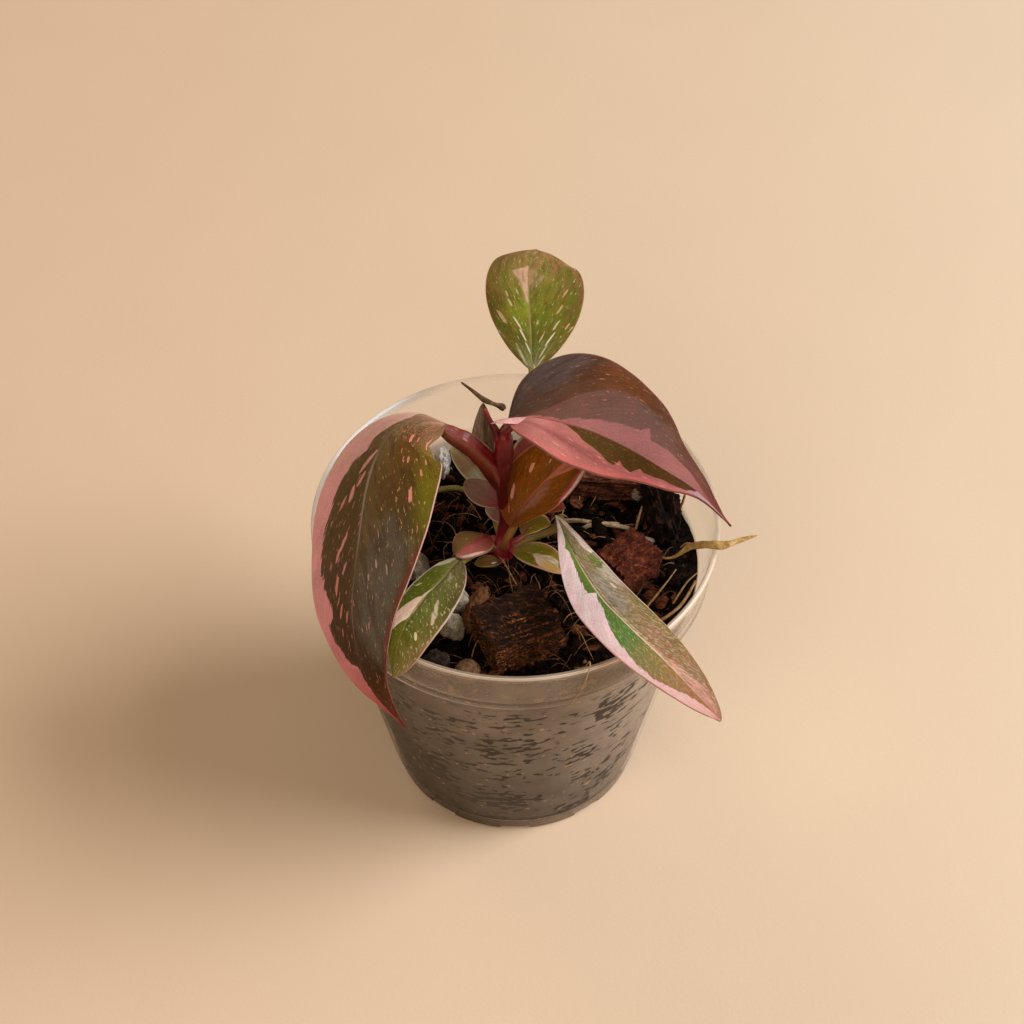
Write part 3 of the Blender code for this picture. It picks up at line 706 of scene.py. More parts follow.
@dataclass
class Leaf:
    """One leaf: a thin blade, and a petiole that runs on under it as the midrib."""

    name: str
    midrib: list[Point]
    left: Half
    right: Half
    petiole: list[Point]
    thick: float
    finish: LeafFinish
    stalk: Stalk
    slot: str = ""
    groove: float = 0.25
    ripple: float = 0.5
    quilt: float = 0.05
    thickness: float = 0.42
    cell: float = 0.7
    rib_share: float = 0.62
    rib_tip: float = 0.2
    section: tuple[float, float] = (1.0, 1.0)
    rib_thick: float | None = None

    def relief(self, along: float, across: float, side: int, length: float, width: float) -> float:
        """Height of the blade's quilting and ripples over its smooth surface.

        Args:
            along: Place along the midrib from 0 to 1.
            across: Place from the midrib, 0, to the margin, 1.
            side: -1 on the left half and 1 on the right one.
            length: Length of the blade in millimetres.
            width: Width of the half in millimetres at its widest.

        Returns:
            The height in millimetres.
        """
        out = across * width
        vein = along * length - out * self.finish.slant
        puffed = abs(math.sin(math.pi * vein / self.finish.vein_gap / 2)) - 0.5
        height = self.quilt * puffed * min(1.0, out / 1.5) * (1 - across ** 6)
        wave = noise.noise(Vector((along * length / 9, side * 5.0, length)))
        height += self.ripple * across ** 2.5 * wave * min(1.0, width / 8)
        height += 0.25 * self.ripple * across * noise.noise(Vector((vein / 4, out / 5, length)))
        return height - 0.22 * math.exp(-(out / 0.45) ** 2) * (1 - along)

    def blade(self) -> bmesh.types.BMesh:
        """The open sheet of the blade."""
        length = length_of(self.midrib)
        width = max(self.left.width, self.right.width)
        rows = round(length / self.cell)
        columns = max(6, round(width / self.cell))
        line = spline(self.midrib, rows + 1)
        ways = frames(line)
        places = {}
        for row in range(rows + 1):
            along = row / rows
            tangent, level, up = ways[row]
            for side, half in ((-1, self.left), (1, self.right)):
                step = half.reach(along) / columns
                point = line[row].copy()
                for column in range(columns + 1):
                    across = column / columns
                    high = self.relief(along, across, side, length, half.width)
                    place = point - tangent * half.setback(along, across)
                    places[row, side * column] = Vector(place + up * high) * MM
                    angle = half.angle(along, across + 0.5 / columns)
                    point += (side * level * math.cos(angle) + up * math.sin(angle)) * step
        bm = new_mesh()
        bmesh.ops.create_grid(bm, x_segments=2 * columns, y_segments=rows, size=1, calc_uvs=True)
        for vert in bm.verts:
            row = round((vert.co.y + 1) / 2 * rows)
            vert.co = places[row, round(vert.co.x * columns)]
        up = ways[rows // 2][2]
        bm.normal_update()
        if sum(face.normal.dot(Vector(up)) for face in bm.faces) < 0:
            bmesh.ops.reverse_faces(bm, faces=bm.faces)
        return bm

    def ribs(self, root: Point) -> bmesh.types.BMesh:
        """The petiole and the midrib under the blade.

        Args:
            root: Point inside the stem that the petiole starts from.

        Returns:
            The mesh.
        """
        rows = max(12, round(length_of(self.midrib) / 3))
        line = spline(self.midrib, rows + 1)
        ways = frames(line)
        last = round(rows * self.rib_share)
        thick = self.rib_thick or self.thick
        rib = []
        for index in range(1, last + 1):
            radius = thick + (self.rib_tip - thick) * (index / last) ** 0.7
            point = line[index] - ways[index][2] * (radius * 0.8 + 0.1)
            rib.append((*point, radius))
        stalk = [point if len(point) > 3 else (*point, self.thick) for point in self.petiole]
        stalk = [(*root, stalk[0][3])] + stalk
        bm = new_mesh()
        sweep(bm, stalk + rib, around=24, cell=0.6, groove=self.groove, wobble=0.12,
              section=self.section)
        merge(bm)
        return bm

    def build(self, root: Point) -> None:
        """Make the blade and its stalk.

        Args:
            root: Point inside the stem that the petiole starts from.
        """
        length = length_of(self.midrib)
        width = (self.left.width + self.right.width) / 2
        skins = [self.finish.above(self.name + "_upper", length, width),
                 self.finish.under(self.name + "_lower", length, width)]
        blade = shown(self.name + "_blade", self.blade(), skins, (self.name,), 180)
        thicken(blade, self.thickness, 1)
        shown(self.name + "_stalk", self.ribs(root), [self.stalk.make()], ())


@dataclass
class Stem:
    """The crimson stem, its crown and the young sheath at its top."""

    line: tuple[Point, ...] = (
        (-2.5, 2, 53.4, 2.1), (-2.9, 2, 62, 2.3), (-3.2, 2.2, 65.8, 2.5), (-2.6, 3.4, 69.5, 1.5),
        (-2.3, 4.8, 74, 1.2), (-2.7, 5.4, 78, 1.2), (-3.1, 6, 83, 1.6), (-2.8, 6.6, 88, 2.1),
        (-2.5, 7.3, 94, 2.15), (-2.4, 8, 98, 1.6))
    horn: tuple[Point, ...] = (
        (-2.7, 7, 92, 1.4), (-3.4, 7.5, 95.5, 1.25), (-4.4, 7.8, 98.5, 0.85),
        (-5.5, 7.7, 101.5, 0.6), (-6.8, 8, 105, 0.3))
    scars: tuple[tuple[float, float], ...] = ((66.5, 0.3), (71.5, 0.15), (77, 0.1))

    def inside(self, height: float) -> Point:
        """Point on the stem's middle line at a height."""
        track = np.array(self.line)
        return tuple(float(np.interp(height, track[:, 2], track[:, axis])) for axis in range(3))

    def build(self) -> None:
        """Make the stem in one piece."""
        points = []
        for x, y, z, radius in spline(self.line, 90):
            swell = sum(size * math.exp(-((z - at) / 0.8) ** 2) for at, size in self.scars)
            points.append((x, y, z, radius + swell))
        bm = new_mesh()
        sweep(bm, points, around=32, cell=0.5, wobble=0.14)
        sweep(bm, self.horn, around=18, cell=0.5, groove=0.5, wobble=0.15)
        merge(bm)
        # Brighter red from 0.22 to 0.32 along, at the crown: painted highlight.
        skin = Stalk("crimson_stem_skin", tones((0, 90, 18, 20), (0.22, 136, 26, 40),
                                                (0.32, 146, 32, 44), (0.42, 92, 14, 16),
                                                (0.65, 90, 14, 14), (0.85, 112, 18, 22),
                                                (1, 140, 30, 36)))
        shown("stem_skin", bm, [skin.make()], ("stem",))


@dataclass(frozen=True)
class WallSpace:
    """Places on the pot in millimetres, and the masks that its two finishes share."""

    x: Sock
    y: Sock
    z: Sock
    turn: Sock
    broad: Sock
    fine: Sock
    facing: Sock
    glance: Sock
    wet: Sock
    front: Sock
    band: Sock
    lip: Sock
    bright: Sock
    shade: Sock
    haze: Sock


@dataclass
class NurseryPot:
    """Thin tapered pot with a rim band, slots round its foot and holes in its floor."""

    steps: int = 180
    foot_slots: int = 10
    slot_size: Point = (5, 7, 3)
    slot_circle: float = 29.3
    floor_holes: int = 6
    hole_radius: float = 2.5
    hole_circle: float = 15.0
    bevel: float = 0.22
    mean_radius: float = 38.0
    foot_at: float = 4.8
    base_up_to: float = 4.4
    damp_up_to: float = 64.5
    seam_at: float = 66.6
    band_from: float = 67.5
    lip_from: float = 77.2
    crest_from: float = 78.4
    crest_radius: float = 44.65
    # Colour of the painted highlight on the back-left lip.
    highlight_colour: Colour = rgb(252, 248, 244)
    inside: tuple[tuple[float, float], ...] = (
        (0, 0.9), (27.9, 0.9), (29.6, 5), (33.6, 25.6), (37.5, 46.2), (41.4, 66.9), (43.0, 67.9),
        (43.8, 78.0), (43.9, 78.8))
    outside: tuple[tuple[float, float], ...] = (
        (44.2, 79), (44.8, 79), (45, 78.7), (45, 77.6), (44.5, 77.1), (43.8, 67.3), (43.4, 66.5),
        (42.2, 66.0), (38.3, 45.7), (34.3, 25.3), (30.4, 5), (29.7, 4.5), (29.3, 0.6), (28.7, 0),
        (0, 0))

    def shell(self) -> bmesh.types.BMesh:
        """The turned shell, closed and facing outwards."""
        bm = bmesh.new()
        path = [bm.verts.new((radius * MM, 0, height * MM))
                for radius, height in self.inside + self.outside]
        edges = [bm.edges.new(pair) for pair in zip(path, path[1:])]
        bmesh.ops.bevel(bm, geom=path[1:-1] + edges, offset=self.bevel * MM, segments=3,
                        affect="VERTICES", profile=0.5, material=-1)
        bmesh.ops.spin(bm, geom=bm.verts[:] + bm.edges[:], cent=(0, 0, 0), axis=(0, 0, 1),
                       angle=math.tau, steps=self.steps, use_merge=True)
        bmesh.ops.remove_doubles(bm, verts=bm.verts, dist=1e-6)
        bmesh.ops.recalc_face_normals(bm, faces=bm.faces)
        return bm

    def drains(self) -> bmesh.types.BMesh:
        """Blocks and rods where the slots and holes are."""
        bm = bmesh.new()
        size = Matrix.Diagonal((*(side * MM for side in self.slot_size), 1))
        for index in range(self.foot_slots):
            turn = Matrix.Rotation(math.tau * (index + 0.5) / self.foot_slots, 4, "Z")
            out = Matrix.Translation((self.slot_circle * MM, 0, 0))
            bmesh.ops.create_cube(bm, size=1, matrix=turn @ out @ size)
        for index in range(self.floor_holes):
            turn = Matrix.Rotation(math.tau * index / self.floor_holes, 4, "Z")
            out = Matrix.Translation((self.hole_circle * MM, 0, 0))
            radius = self.hole_radius * MM
            bmesh.ops.create_cone(bm, cap_ends=True, segments=32, radius1=radius, radius2=radius,
                                  depth=5 * MM, matrix=turn @ out)
        return bm

    def space(self, paint: Paint) -> WallSpace:
        """Work out the places and masks that both finishes use."""
        x, y, z = paint.parts(paint.millimetres())
        turn = paint.math("ARCTAN2", y, x) * self.mean_radius
        broad = paint.noise(paint.vector(turn * 0.10, z * 0.13), 1, 3)
        facing = paint.sock(paint.node("ShaderNodeLayerWeight", Blend=0.35), "Facing")
        front = 1 - paint.step(y, -8, 14)
        return WallSpace(
            x=x, y=y, z=z, turn=turn, broad=broad,
            fine=paint.noise(paint.millimetres(), 0.5, 1.5),
            facing=facing,
            glance=paint.math("POWER", facing, 3.0),
            wet=1 - paint.step(z, self.damp_up_to, 2.0),
            front=front,
            band=paint.step(z, self.band_from, 0.8) * (front * 0.95 + 0.05),
            lip=paint.step(z, self.lip_from, 0.4),
            # Back-left part of the rim, which carries a painted highlight on the lip.
            bright=(1 - paint.step(x, -22, 8)) * paint.step(y, 2, 12),
            # Left side, away from the key light, which carries painted shade.
            shade=1 - paint.step(x + z * 0.3, -2, 18),
            haze=paint.ramp(broad, tones((0.3, 178, 162, 146), (0.7, 206, 190, 174))))

    def outer_plastic(self) -> bpy.types.Material:
        """Clear, slightly hazy plastic, with light lines at its seam and foot, painted highlights on its
        lip and right side, and painted shade on its left side and foot.
        """
        paint = Paint("clear_plastic_outer")
        at = self.space(paint)
        # Foot below base_up_to, which carries painted contact shade.
        base = 1 - paint.step(at.z, self.base_up_to, 0.5)
        # Top of the right side, where the key light falls, for painted light.
        right = paint.step(at.x, 20, 8) * paint.step(at.z, 75.4, 1.4)
        reach = paint.math("SQRT", at.x * at.x + at.y * at.y)
        # Thin crest of the front lip, for a painted highlight.
        crest_highlight = paint.step(at.z, self.crest_from, 0.15) * paint.step(reach, self.crest_radius, 0.1)
        crest_highlight = crest_highlight * at.front
        seam = 1 - paint.step(paint.math("ABSOLUTE", at.z - self.seam_at), 0.3, 0.2)
        foot = 1 - paint.step(paint.math("ABSOLUTE", at.z - self.foot_at), 0.3, 0.25)
        # Painted shade: the foot and the left side below the rim take a darker film, darkest on the left.
        dark = paint.mix(at.shade, rgb(138, 116, 94), rgb(66, 52, 40))
        colour = paint.mix(paint.math("MAXIMUM", base, at.shade * at.wet), at.haze, dark)
        colour = paint.mix(paint.math("MAXIMUM", seam, foot), colour, rgb(226, 206, 184))
        # Painted highlight: the back-left lip is whitened.
        colour = paint.mix(at.lip * at.bright, colour, self.highlight_colour)
        # Painted light: the lit right top and the front crest are whitened.
        colour = paint.mix(paint.math("MAXIMUM", right, crest_highlight), colour, rgb(228, 212, 194))
        cover = at.glance * 0.16 + at.fine * 0.02 + 0.01 + at.band * 0.12 + seam * at.front * 0.55
        # The cover also carries the painted highlights of the lip, crest and right side, and the painted
        # shade of the foot and the left outline.
        cover = cover + at.lip * (at.bright * 0.9 + at.front * 0.12 + 0.10) + foot * at.front * 0.3
        cover = cover + base * at.front * 0.5 + at.shade * at.wet * at.facing * at.facing * 0.6
        cover = cover + right * 0.30 + crest_highlight * 0.45
        return paint.finish(Base_Color=colour, Roughness=at.fine * 0.2 + 0.16, Alpha=cover)

    def inner_plastic(self) -> bpy.types.Material:
        """Plastic under the film and the dark contact marks that the damp mix leaves, with painted light
        on its right side, painted shade on its left, a tone that darkens towards the bottom, and a painted
        highlight on its lip.
        """
        paint = Paint("clear_plastic_inner")
        at = self.space(paint)
        dash = paint.noise(paint.vector(at.turn * 0.31, (at.z - at.turn * 0.12) * 0.74), 1, 1.0, 0.5)
        cluster = paint.noise(paint.vector(at.turn * 0.07, at.z * 0.10, 4.0), 1, 2)
        contact = paint.step(dash + cluster * 0.85 - 0.425, 0.602, 0.012) * at.wet
        contact = contact * (1 - paint.step(at.z, 61, 3))
        crumb = paint.noise(paint.vector(at.turn * 0.4, at.z * 0.6, 9.0), 1, 2)
        smear = paint.noise(paint.vector(at.turn * 0.3, at.z * 0.3, 3.0), 1, 3)
        stain = paint.noise(paint.vector(at.turn * 0.12, at.z * 0.25, 17.0), 1, 2)
        upper = paint.step(smear, 0.60, 0.04) * at.band * (1 - paint.step(at.z, 73.5, 1.5))
        tan = paint.step(crumb, 0.68, 0.02) * at.wet + upper * 0.6
        rust = paint.step(stain, 0.66, 0.02) * (1 - paint.step(at.z, 22, 6))
        # Darker towards the bottom.
        low = paint.line(at.z * (1 / 80), ((0.0, 0.5), (0.2, 0.62), (0.45, 0.92), (0.7, 1.0)))
        damp = paint.ramp(at.broad, tones((0.3, 132, 120, 109), (0.7, 158, 145, 133)))
        # Lighter on the right, where the key light falls: painted light.
        damp = paint.mix(paint.step(at.x, 20, 14) * 0.4, damp, rgb(196, 178, 162))
        # Painted shade on the left side, over the tone that darkens towards the bottom.
        damp = paint.mix(at.shade * 0.6, paint.shaded(damp, low), rgb(50, 40, 31))
        colour = paint.mix(contact, paint.mix(at.wet, at.haze, damp), rgb(34, 24, 16))
        colour = paint.mix(tan * 0.8, colour, rgb(190, 152, 108))
        colour = paint.mix(rust * 0.9, colour, rgb(112, 58, 36))
        # Painted highlight on the back-left lip, as on the outer side.
        colour = paint.mix(at.lip * at.bright, colour, self.highlight_colour)
        # More film on the right side: painted light.
        cover = at.wet * (0.58 + at.broad * 0.2 + paint.step(at.x, 16, 18) * 0.22) + at.band * 0.38
        cover = cover + (tan + rust) * 0.35 + at.glance * 0.06 + at.fine * 0.04 + 0.01
        cover = cover + at.lip * (at.bright * 0.5 + at.front * 0.1)
        return paint.finish(Base_Color=colour, Roughness=0.5, Specular_IOR_Level=0.2,
                            Alpha=paint.math("MAXIMUM", cover, contact * 0.94))

    def build(self) -> None:
        """Make the pot, with its slots and holes cut through."""
        cutter = placed("drains", self.drains())
        shell = placed("shell", self.shell())
        cut = shell.modifiers.new("cut", "BOOLEAN")
        cut.object = cutter
        cut.solver = "EXACT"
        bm = new_mesh()
        bm.from_object(shell, bpy.context.evaluated_depsgraph_get())
        for spare in (shell, cutter):
            bpy.data.objects.remove(spare)
        for face in bm.faces:
            middle = face.calc_center_median()
            inward = face.normal.xy.dot(middle.xy.normalized()) < -0.3
            face.material_index = int(inward and middle.z > 1.2 * MM)
        shown("pot_shell", bm, [self.outer_plastic(), self.inner_plastic()], ("pot",),
              32)


@dataclass
class PottingMix:
    """Dark bark mix with an uneven top, loose chips and fibres."""

    cells: int = 150
    side_rows: int = 34
    radius: float = 40.0
    middle: float = 64.0
    rise_to_front: float = 2.6
    rise_to_right: float = 1.6
    lumps: float = 1.5
    spacing: float = 8.0
    inset: float = 0.35
    foot: float = 1.2
    dent: float = 0.7
    foot_dent: float = 0.4
    wall_heights: Point = (0.9, 5, 66.9)
    wall_radii: Point = (27.9, 29.6, 41.4)
    stem_at: tuple[float, float] = (-2.5, 2.0)
    stem_clear: float = 3.4
    chip_reach: float = 38.2
    small_chips_from: float = 36.5
    fibre_reach: float = 34.0
    fibre_limit: float = 38.0

    def height(self, x: float, y: float) -> float:
        """Height of the smooth top over a point."""
        plane = self.middle + (self.rise_to_right * x - self.rise_to_front * y) / self.radius
        lumps = noise.fractal(Vector((x, y, 3)) / self.spacing, 0.8, 2, 2)
        edge = max(0, 1 - (math.hypot(x, y) / self.radius) ** 6)
        return plane + self.lumps * lumps * (0.4 + 0.6 * edge)

    def crumbs(self, x: float, y: float) -> float:
        """Height of the chips and crumbs that cover the top."""
        total = 0.0
        for size, high in ((4.6, 1.5), (2.1, 0.8)):
            far, near = noise.voronoi(Vector((x, y, size)) / size)
            tilt = noise.cell_vector(near[0] * 7.3) - Vector((0.5, 0.5, 0.5))
            offset = Vector((x, y, 0)) / size - near[0]
            total += high * (0.25 - far[0] + 1.1 * offset.xy.dot(tilt.xy) + 0.5 * tilt.z)
        return total + 0.35 * noise.fractal(Vector((x, y, 9)) * 1.6, 0.7, 2.2, 3)

    @staticmethod
    def to_disc(x: float, y: float) -> tuple[float, float]:
        """A point of the square from -1 to 1 moved to the unit disc."""
        if abs(x) >= abs(y):
            turn = math.pi / 4 * (y / x if x else 0.0)
            return x * math.cos(turn), x * math.sin(turn)
        turn = math.pi / 4 * x / y
        return y * math.sin(turn), y * math.cos(turn)

    def wall(self, height: float) -> float:
        """Inner radius of the pot's wall at a height."""
        return float(np.interp(height, self.wall_heights, self.wall_radii))

    def body(self) -> None:
        """The mix itself: its top, its side against the wall, and its bottom."""
        bm = new_mesh()
        bmesh.ops.create_grid(bm, x_segments=self.cells, y_segments=self.cells, size=1)
        for vert in bm.verts:
            x, y = self.to_disc(vert.co.x, vert.co.y)
            reach = self.wall(self.height(x * self.radius, y * self.radius)) - self.inset
            share = math.hypot(x, y)
            x, y = x * reach, y * reach
            rough = self.crumbs(x, y) * min(1.0, (1 - share) * 12 + 0.25)
            near = math.exp(-(math.hypot(x - self.stem_at[0], y - self.stem_at[1]) / 3.5) ** 2)
            vert.co = Vector((x, y, self.height(x, y) + rough * (1 - 0.6 * near))) * MM
        rim = [edge for edge in bm.edges if edge.is_boundary]
        for row in range(1, self.side_rows + 1):
            grown = bmesh.ops.extrude_edge_only(bm, edges=rim)["geom"]
            for vert in (item for item in grown if isinstance(item, bmesh.types.BMVert)):
                way = vert.co.xy.normalized()
                z = vert.co.z / MM
                z += (self.foot - z) / (self.side_rows - row + 1)
                reach = self.wall(z) - self.inset
                dent = noise.fractal(Vector((way.x * 14, way.y * 14, z / 2.6)), 0.8, 2, 3)
                reach -= self.dent * abs(dent) if row < self.side_rows else self.foot_dent
                vert.co = Vector((way.x * reach, way.y * reach, z)) * MM
            rim = [item for item in grown if isinstance(item, bmesh.types.BMEdge)]
        bmesh.ops.contextual_create(bm, geom=rim)
        bmesh.ops.recalc_face_normals(bm, faces=bm.faces)
        soil = Grain("bark_mix_damp", ((9, 6, 4), (26, 16, 10), (84, 48, 26)), 2.4,
                     pits=0.3, roughness=0.9, relief=0.5, middle=0.56, shine=0.08)
        shown("mix_body", bm, [soil.make()], ("potting_mix",), 40)

    def chips(self, name: str, count: int, sizes: tuple[float, float], flatness: float,
              finish: Grain, seed: int, fine: int = 1) -> None:
        """Scatter chips over the top as one piece.

        Args:
            name: Name of the piece.
            count: Number of chips.
            sizes: Least and greatest half length.
            flatness: Thickness as a share of the half length.
            finish: Surface of the chips.
            seed: Start of the random numbers.
            fine: Subdivisions of each chip.
        """
        chance = random.Random(seed)
        bm = new_mesh()
        for _ in range(count):
            reach = math.sqrt(chance.random()) * self.chip_reach
            turn = chance.uniform(0, math.tau)
            x, y = reach * math.cos(turn), reach * math.sin(turn)
            size = chance.uniform(*sizes) * (0.6 if reach > self.small_chips_from else 1.0)
            if math.hypot(x - self.stem_at[0], y - self.stem_at[1]) < self.stem_clear + size:
                continue
            z = self.height(x, y) + 0.5 * self.crumbs(x, y) + size * 0.25
            lean = Matrix.Rotation(chance.gauss(0, 0.6), 4, "X") @ Matrix.Rotation(
                chance.gauss(0, 0.6), 4, "Y") @ Matrix.Rotation(chance.uniform(0, math.tau), 4, "Z")
            shape = Matrix.Diagonal((size, size * chance.uniform(0.35, 0.8),
                                     size * flatness * chance.uniform(0.6, 1.3), 1))
            made = bmesh.ops.create_icosphere(bm, subdivisions=fine, radius=1)["verts"]
            for vert in made:
                vert.co *= 1 + 0.45 * noise.noise(vert.co * 1.4 + Vector((x, y, z)))
                vert.co = Vector((round(axis * 2.6) / 2.6 * 0.5 + axis * 0.6 for axis in vert.co))
            seat = Matrix.Scale(MM, 4) @ Matrix.Translation((x, y, z))
            bmesh.ops.transform(bm, verts=made, matrix=seat @ lean @ shape)
        bmesh.ops.recalc_face_normals(bm, faces=bm.faces)
        shown(name, bm, [finish.make()], (), 22)

    def fibres(self, name: str, count: int, lengths: tuple[float, float], radius: float,
               finish: Grain, seed: int, slot: str = "coco_fibre") -> None:
        """Scatter thin bent fibres over the top as one piece.

        Args:
            name: Name of the piece.
            count: Number of fibres.
            lengths: Least and greatest length.
            radius: Greatest radius.
            finish: Surface of the fibres.
            seed: Start of the random numbers.
            slot: Not used.
        """
        chance = random.Random(seed)
        bm = new_mesh()
        for _ in range(count):
            reach = math.sqrt(chance.random()) * self.fibre_reach
            turn = chance.uniform(0, math.tau)
            x, y = reach * math.cos(turn), reach * math.sin(turn)
            way = chance.uniform(0, math.tau)
            bend = chance.gauss(0, 0.7)
            long = chance.uniform(*lengths)
            rise = abs(chance.gauss(0, 0.09)) * long
            points = []
            for part in range(5):
                share = part / 4
                if math.hypot(x, y) > self.fibre_limit:
                    break
                high = self.height(x, y) + 0.9 + rise * math.sin(share * math.pi) + (
                    -0.8 if part in (0, 4) else 0.3)
                points.append((x, y, high, radius * (1 - 0.6 * share)))
                way += bend / 4 + chance.gauss(0, 0.15)
                x += long / 4 * math.cos(way)
                y += long / 4 * math.sin(way)
            if len(points) > 2:
                sweep(bm, points, around=4, cell=long / 9, blunt=False)
        merge(bm)
        shown(name, bm, [finish.make()], ())

    def build(self) -> None:
        """Make the mix with its chips and fibres."""
        self.body()
        black = Grain("chips_black", ((9, 6, 4), (24, 15, 10), (80, 50, 30)), 2.0, (1, 2.5, 1),
                      relief=0.5, roughness=0.9, middle=0.55, shine=0.08)
        brown = Grain("chips_brown", ((38, 18, 9), (90, 46, 24), (156, 94, 52)), 1.8,
                      (1, 3, 1), relief=0.35)
        tan = Grain("chips_tan", ((80, 52, 32), (132, 98, 68), (190, 156, 118)), 1.6,
                    (1, 3, 1), relief=0.3)
        self.chips("chips_dark_large", 110, (1.2, 3.0), 0.5, black, 3, 2)
        self.chips("chips_dark_small", 1100, (0.4, 1.3), 0.5, black, 4)
        self.chips("chips_brown", 300, (0.5, 2.4), 0.3, brown, 5)
        self.chips("crumbs_tan", 70, (0.35, 1.0), 0.5, tan, 6)
        pale = Grain("fibre_pale", ((120, 86, 52), (182, 142, 96), (214, 182, 138)), 1.5,
                     relief=0.05, roughness=0.6)
        dull = Grain("fibre_dull", ((60, 38, 22), (112, 74, 44), (150, 106, 68)), 1.5,
                     relief=0.05)
        self.fibres("fibres_pale", 70, (3, 13), 0.14, pale, 7)
        self.fibres("fibres_dull", 260, (3, 11), 0.12, dull, 8)


class Kind(Enum):
    """What a lump is made of."""

    HUSK = "husk"
    CHARCOAL = "charcoal"
    BARK = "bark"
    CLAY = "clay"
    PUMICE = "pumice"


@dataclass
class Lump:
    """A piece of husk, bark or stone that lies in the mix."""

    name: str
    kind: Kind
    centre: Point
    size: Point
    turn: float
    ragged: float
    boxy: float
    skin: Grain
    slot: str
    fibres: int = 0
    fine: int = 5
    # Finish of the upward faces; for the husk block it is darker, as painted shade on its top.
    top: Grain | None = None

    def relief(self, place: Vector) -> float:
        """How far the surface stands out at a place in millimetres, for what it is made of."""
        seed = Vector((self.centre[0], self.centre[1], 0))
        spot = place + seed
        coarse = noise.fractal(spot * 0.45, 0.8, 2.1, 4)
        match self.kind:
            case Kind.HUSK:
                strand = noise.fractal(Vector((spot.x * 0.35, spot.y * 0.35, spot.z * 1.9)), 0.7, 2, 3)
                comb = noise.fractal(Vector((spot.x * 0.15, spot.y * 1.6, spot.z * 1.6)), 0.8, 2, 4)
                return 0.45 * coarse + 0.35 * strand + 0.55 * comb
            case Kind.CHARCOAL:
                ridge = abs(noise.noise(Vector((spot.x * 1.3, spot.y * 0.22, spot.z * 0.9))))
                return 0.7 * coarse + 1.5 * ridge - 0.5
            case Kind.BARK:
                flake = noise.noise(Vector((spot.x * 0.7, spot.y * 0.25, spot.z * 1.4)))
                return 0.5 * coarse + 0.5 * round(flake * 4) / 4
            case Kind.CLAY:
                return 0.14 * noise.fractal(spot * 1.6, 0.8, 2, 3)
        far, _ = noise.voronoi(spot * 0.9)
        return 0.35 * coarse - 0.5 * max(0.0, 0.38 - far[0])

    def point(self, way: Vector) -> Vector:
        """Place on the surface in a direction from the lump's middle, in its own axes."""
        reach = 1 + self.boxy * (0.78 / max(abs(axis) for axis in way) - 1)
        seed = Vector((self.centre[0], self.centre[1], self.centre[2]))
        dent = noise.noise(way * 1.7 + seed) * self.ragged * 2
        place = Vector(axis * span / 2 for axis, span in zip(way * (reach + dent), self.size))
        return place + way * self.relief(place)

    def build(self, mix: PottingMix) -> None:
        """Make the lump, seated in the mix.

        Args:
            mix: The potting mix.
        """
        x, y, lift = self.centre
        seat = (Matrix.Translation((x, y, mix.height(x, y) + lift))
                @ Matrix.Rotation(math.radians(self.turn), 4, "Z"))
        bm = new_mesh()
        bmesh.ops.create_icosphere(bm, subdivisions=self.fine, radius=1)
        for vert in bm.verts:
            vert.co = (seat @ self.point(vert.co.normalized())) * MM
        bmesh.ops.recalc_face_normals(bm, faces=bm.faces)
        finishes = [self.skin.make()]
        if self.top:
            finishes.append(self.top.make())
            bm.normal_update()
            # Faces that look upwards take the top finish, the painted shade of the husk block's top.
            for face in bm.faces:
                face.material_index = int(face.normal.z > 0.6)
        shown(self.name + "_skin", bm, finishes, (self.name,), 60)
        if self.fibres:
            self.add_fibres(seat)

    def add_fibres(self, seat: Matrix) -> None:
        """Lay loose fibres along the surface of husk.

        Args:
            seat: Where the lump is.
        """
        chance = random.Random(self.name)
        bm = new_mesh()
        for _ in range(self.fibres):
            way = Vector((chance.gauss(0, 1), chance.gauss(0, 1), abs(chance.gauss(0, 1)) - 0.3))
            way.normalize()
            drift = Vector((chance.gauss(0, 0.12), chance.gauss(0, 0.12), -1 if abs(way.z) < 0.6
                            else chance.gauss(0, 0.3))) + Vector((chance.gauss(0, 0.3), 0.5, 0))
            span = chance.uniform(0.25, 0.9)
            lift = chance.uniform(0.02, 0.3)
            thick = chance.uniform(0.04, 0.10)
            points = []
            for part in range(5):
                spot = (way + drift * span * (part / 4 - 0.5)).normalized()
                out = self.point(spot) + spot * (lift * (part / 4) ** 2 + 0.03)
                points.append((*(seat @ out), thick * (1 - 0.15 * part)))
            sweep(bm, points, around=4, cell=max(0.3, length_of(points) / 9), blunt=False)
        merge(bm)
        strand = Grain(self.name + "_strands", ((48, 24, 11), (112, 64, 32), (176, 114, 62)),
                       2.2, relief=0.05, roughness=0.75)
        shown(self.name + "_strands", bm, [strand.make()], ())


HUSK = Grain("coco_husk", ((40, 19, 8), (112, 62, 28), (196, 130, 70)), 2.2, (1.4, 1.4, 0.5),
             relief=0.6, middle=0.52)
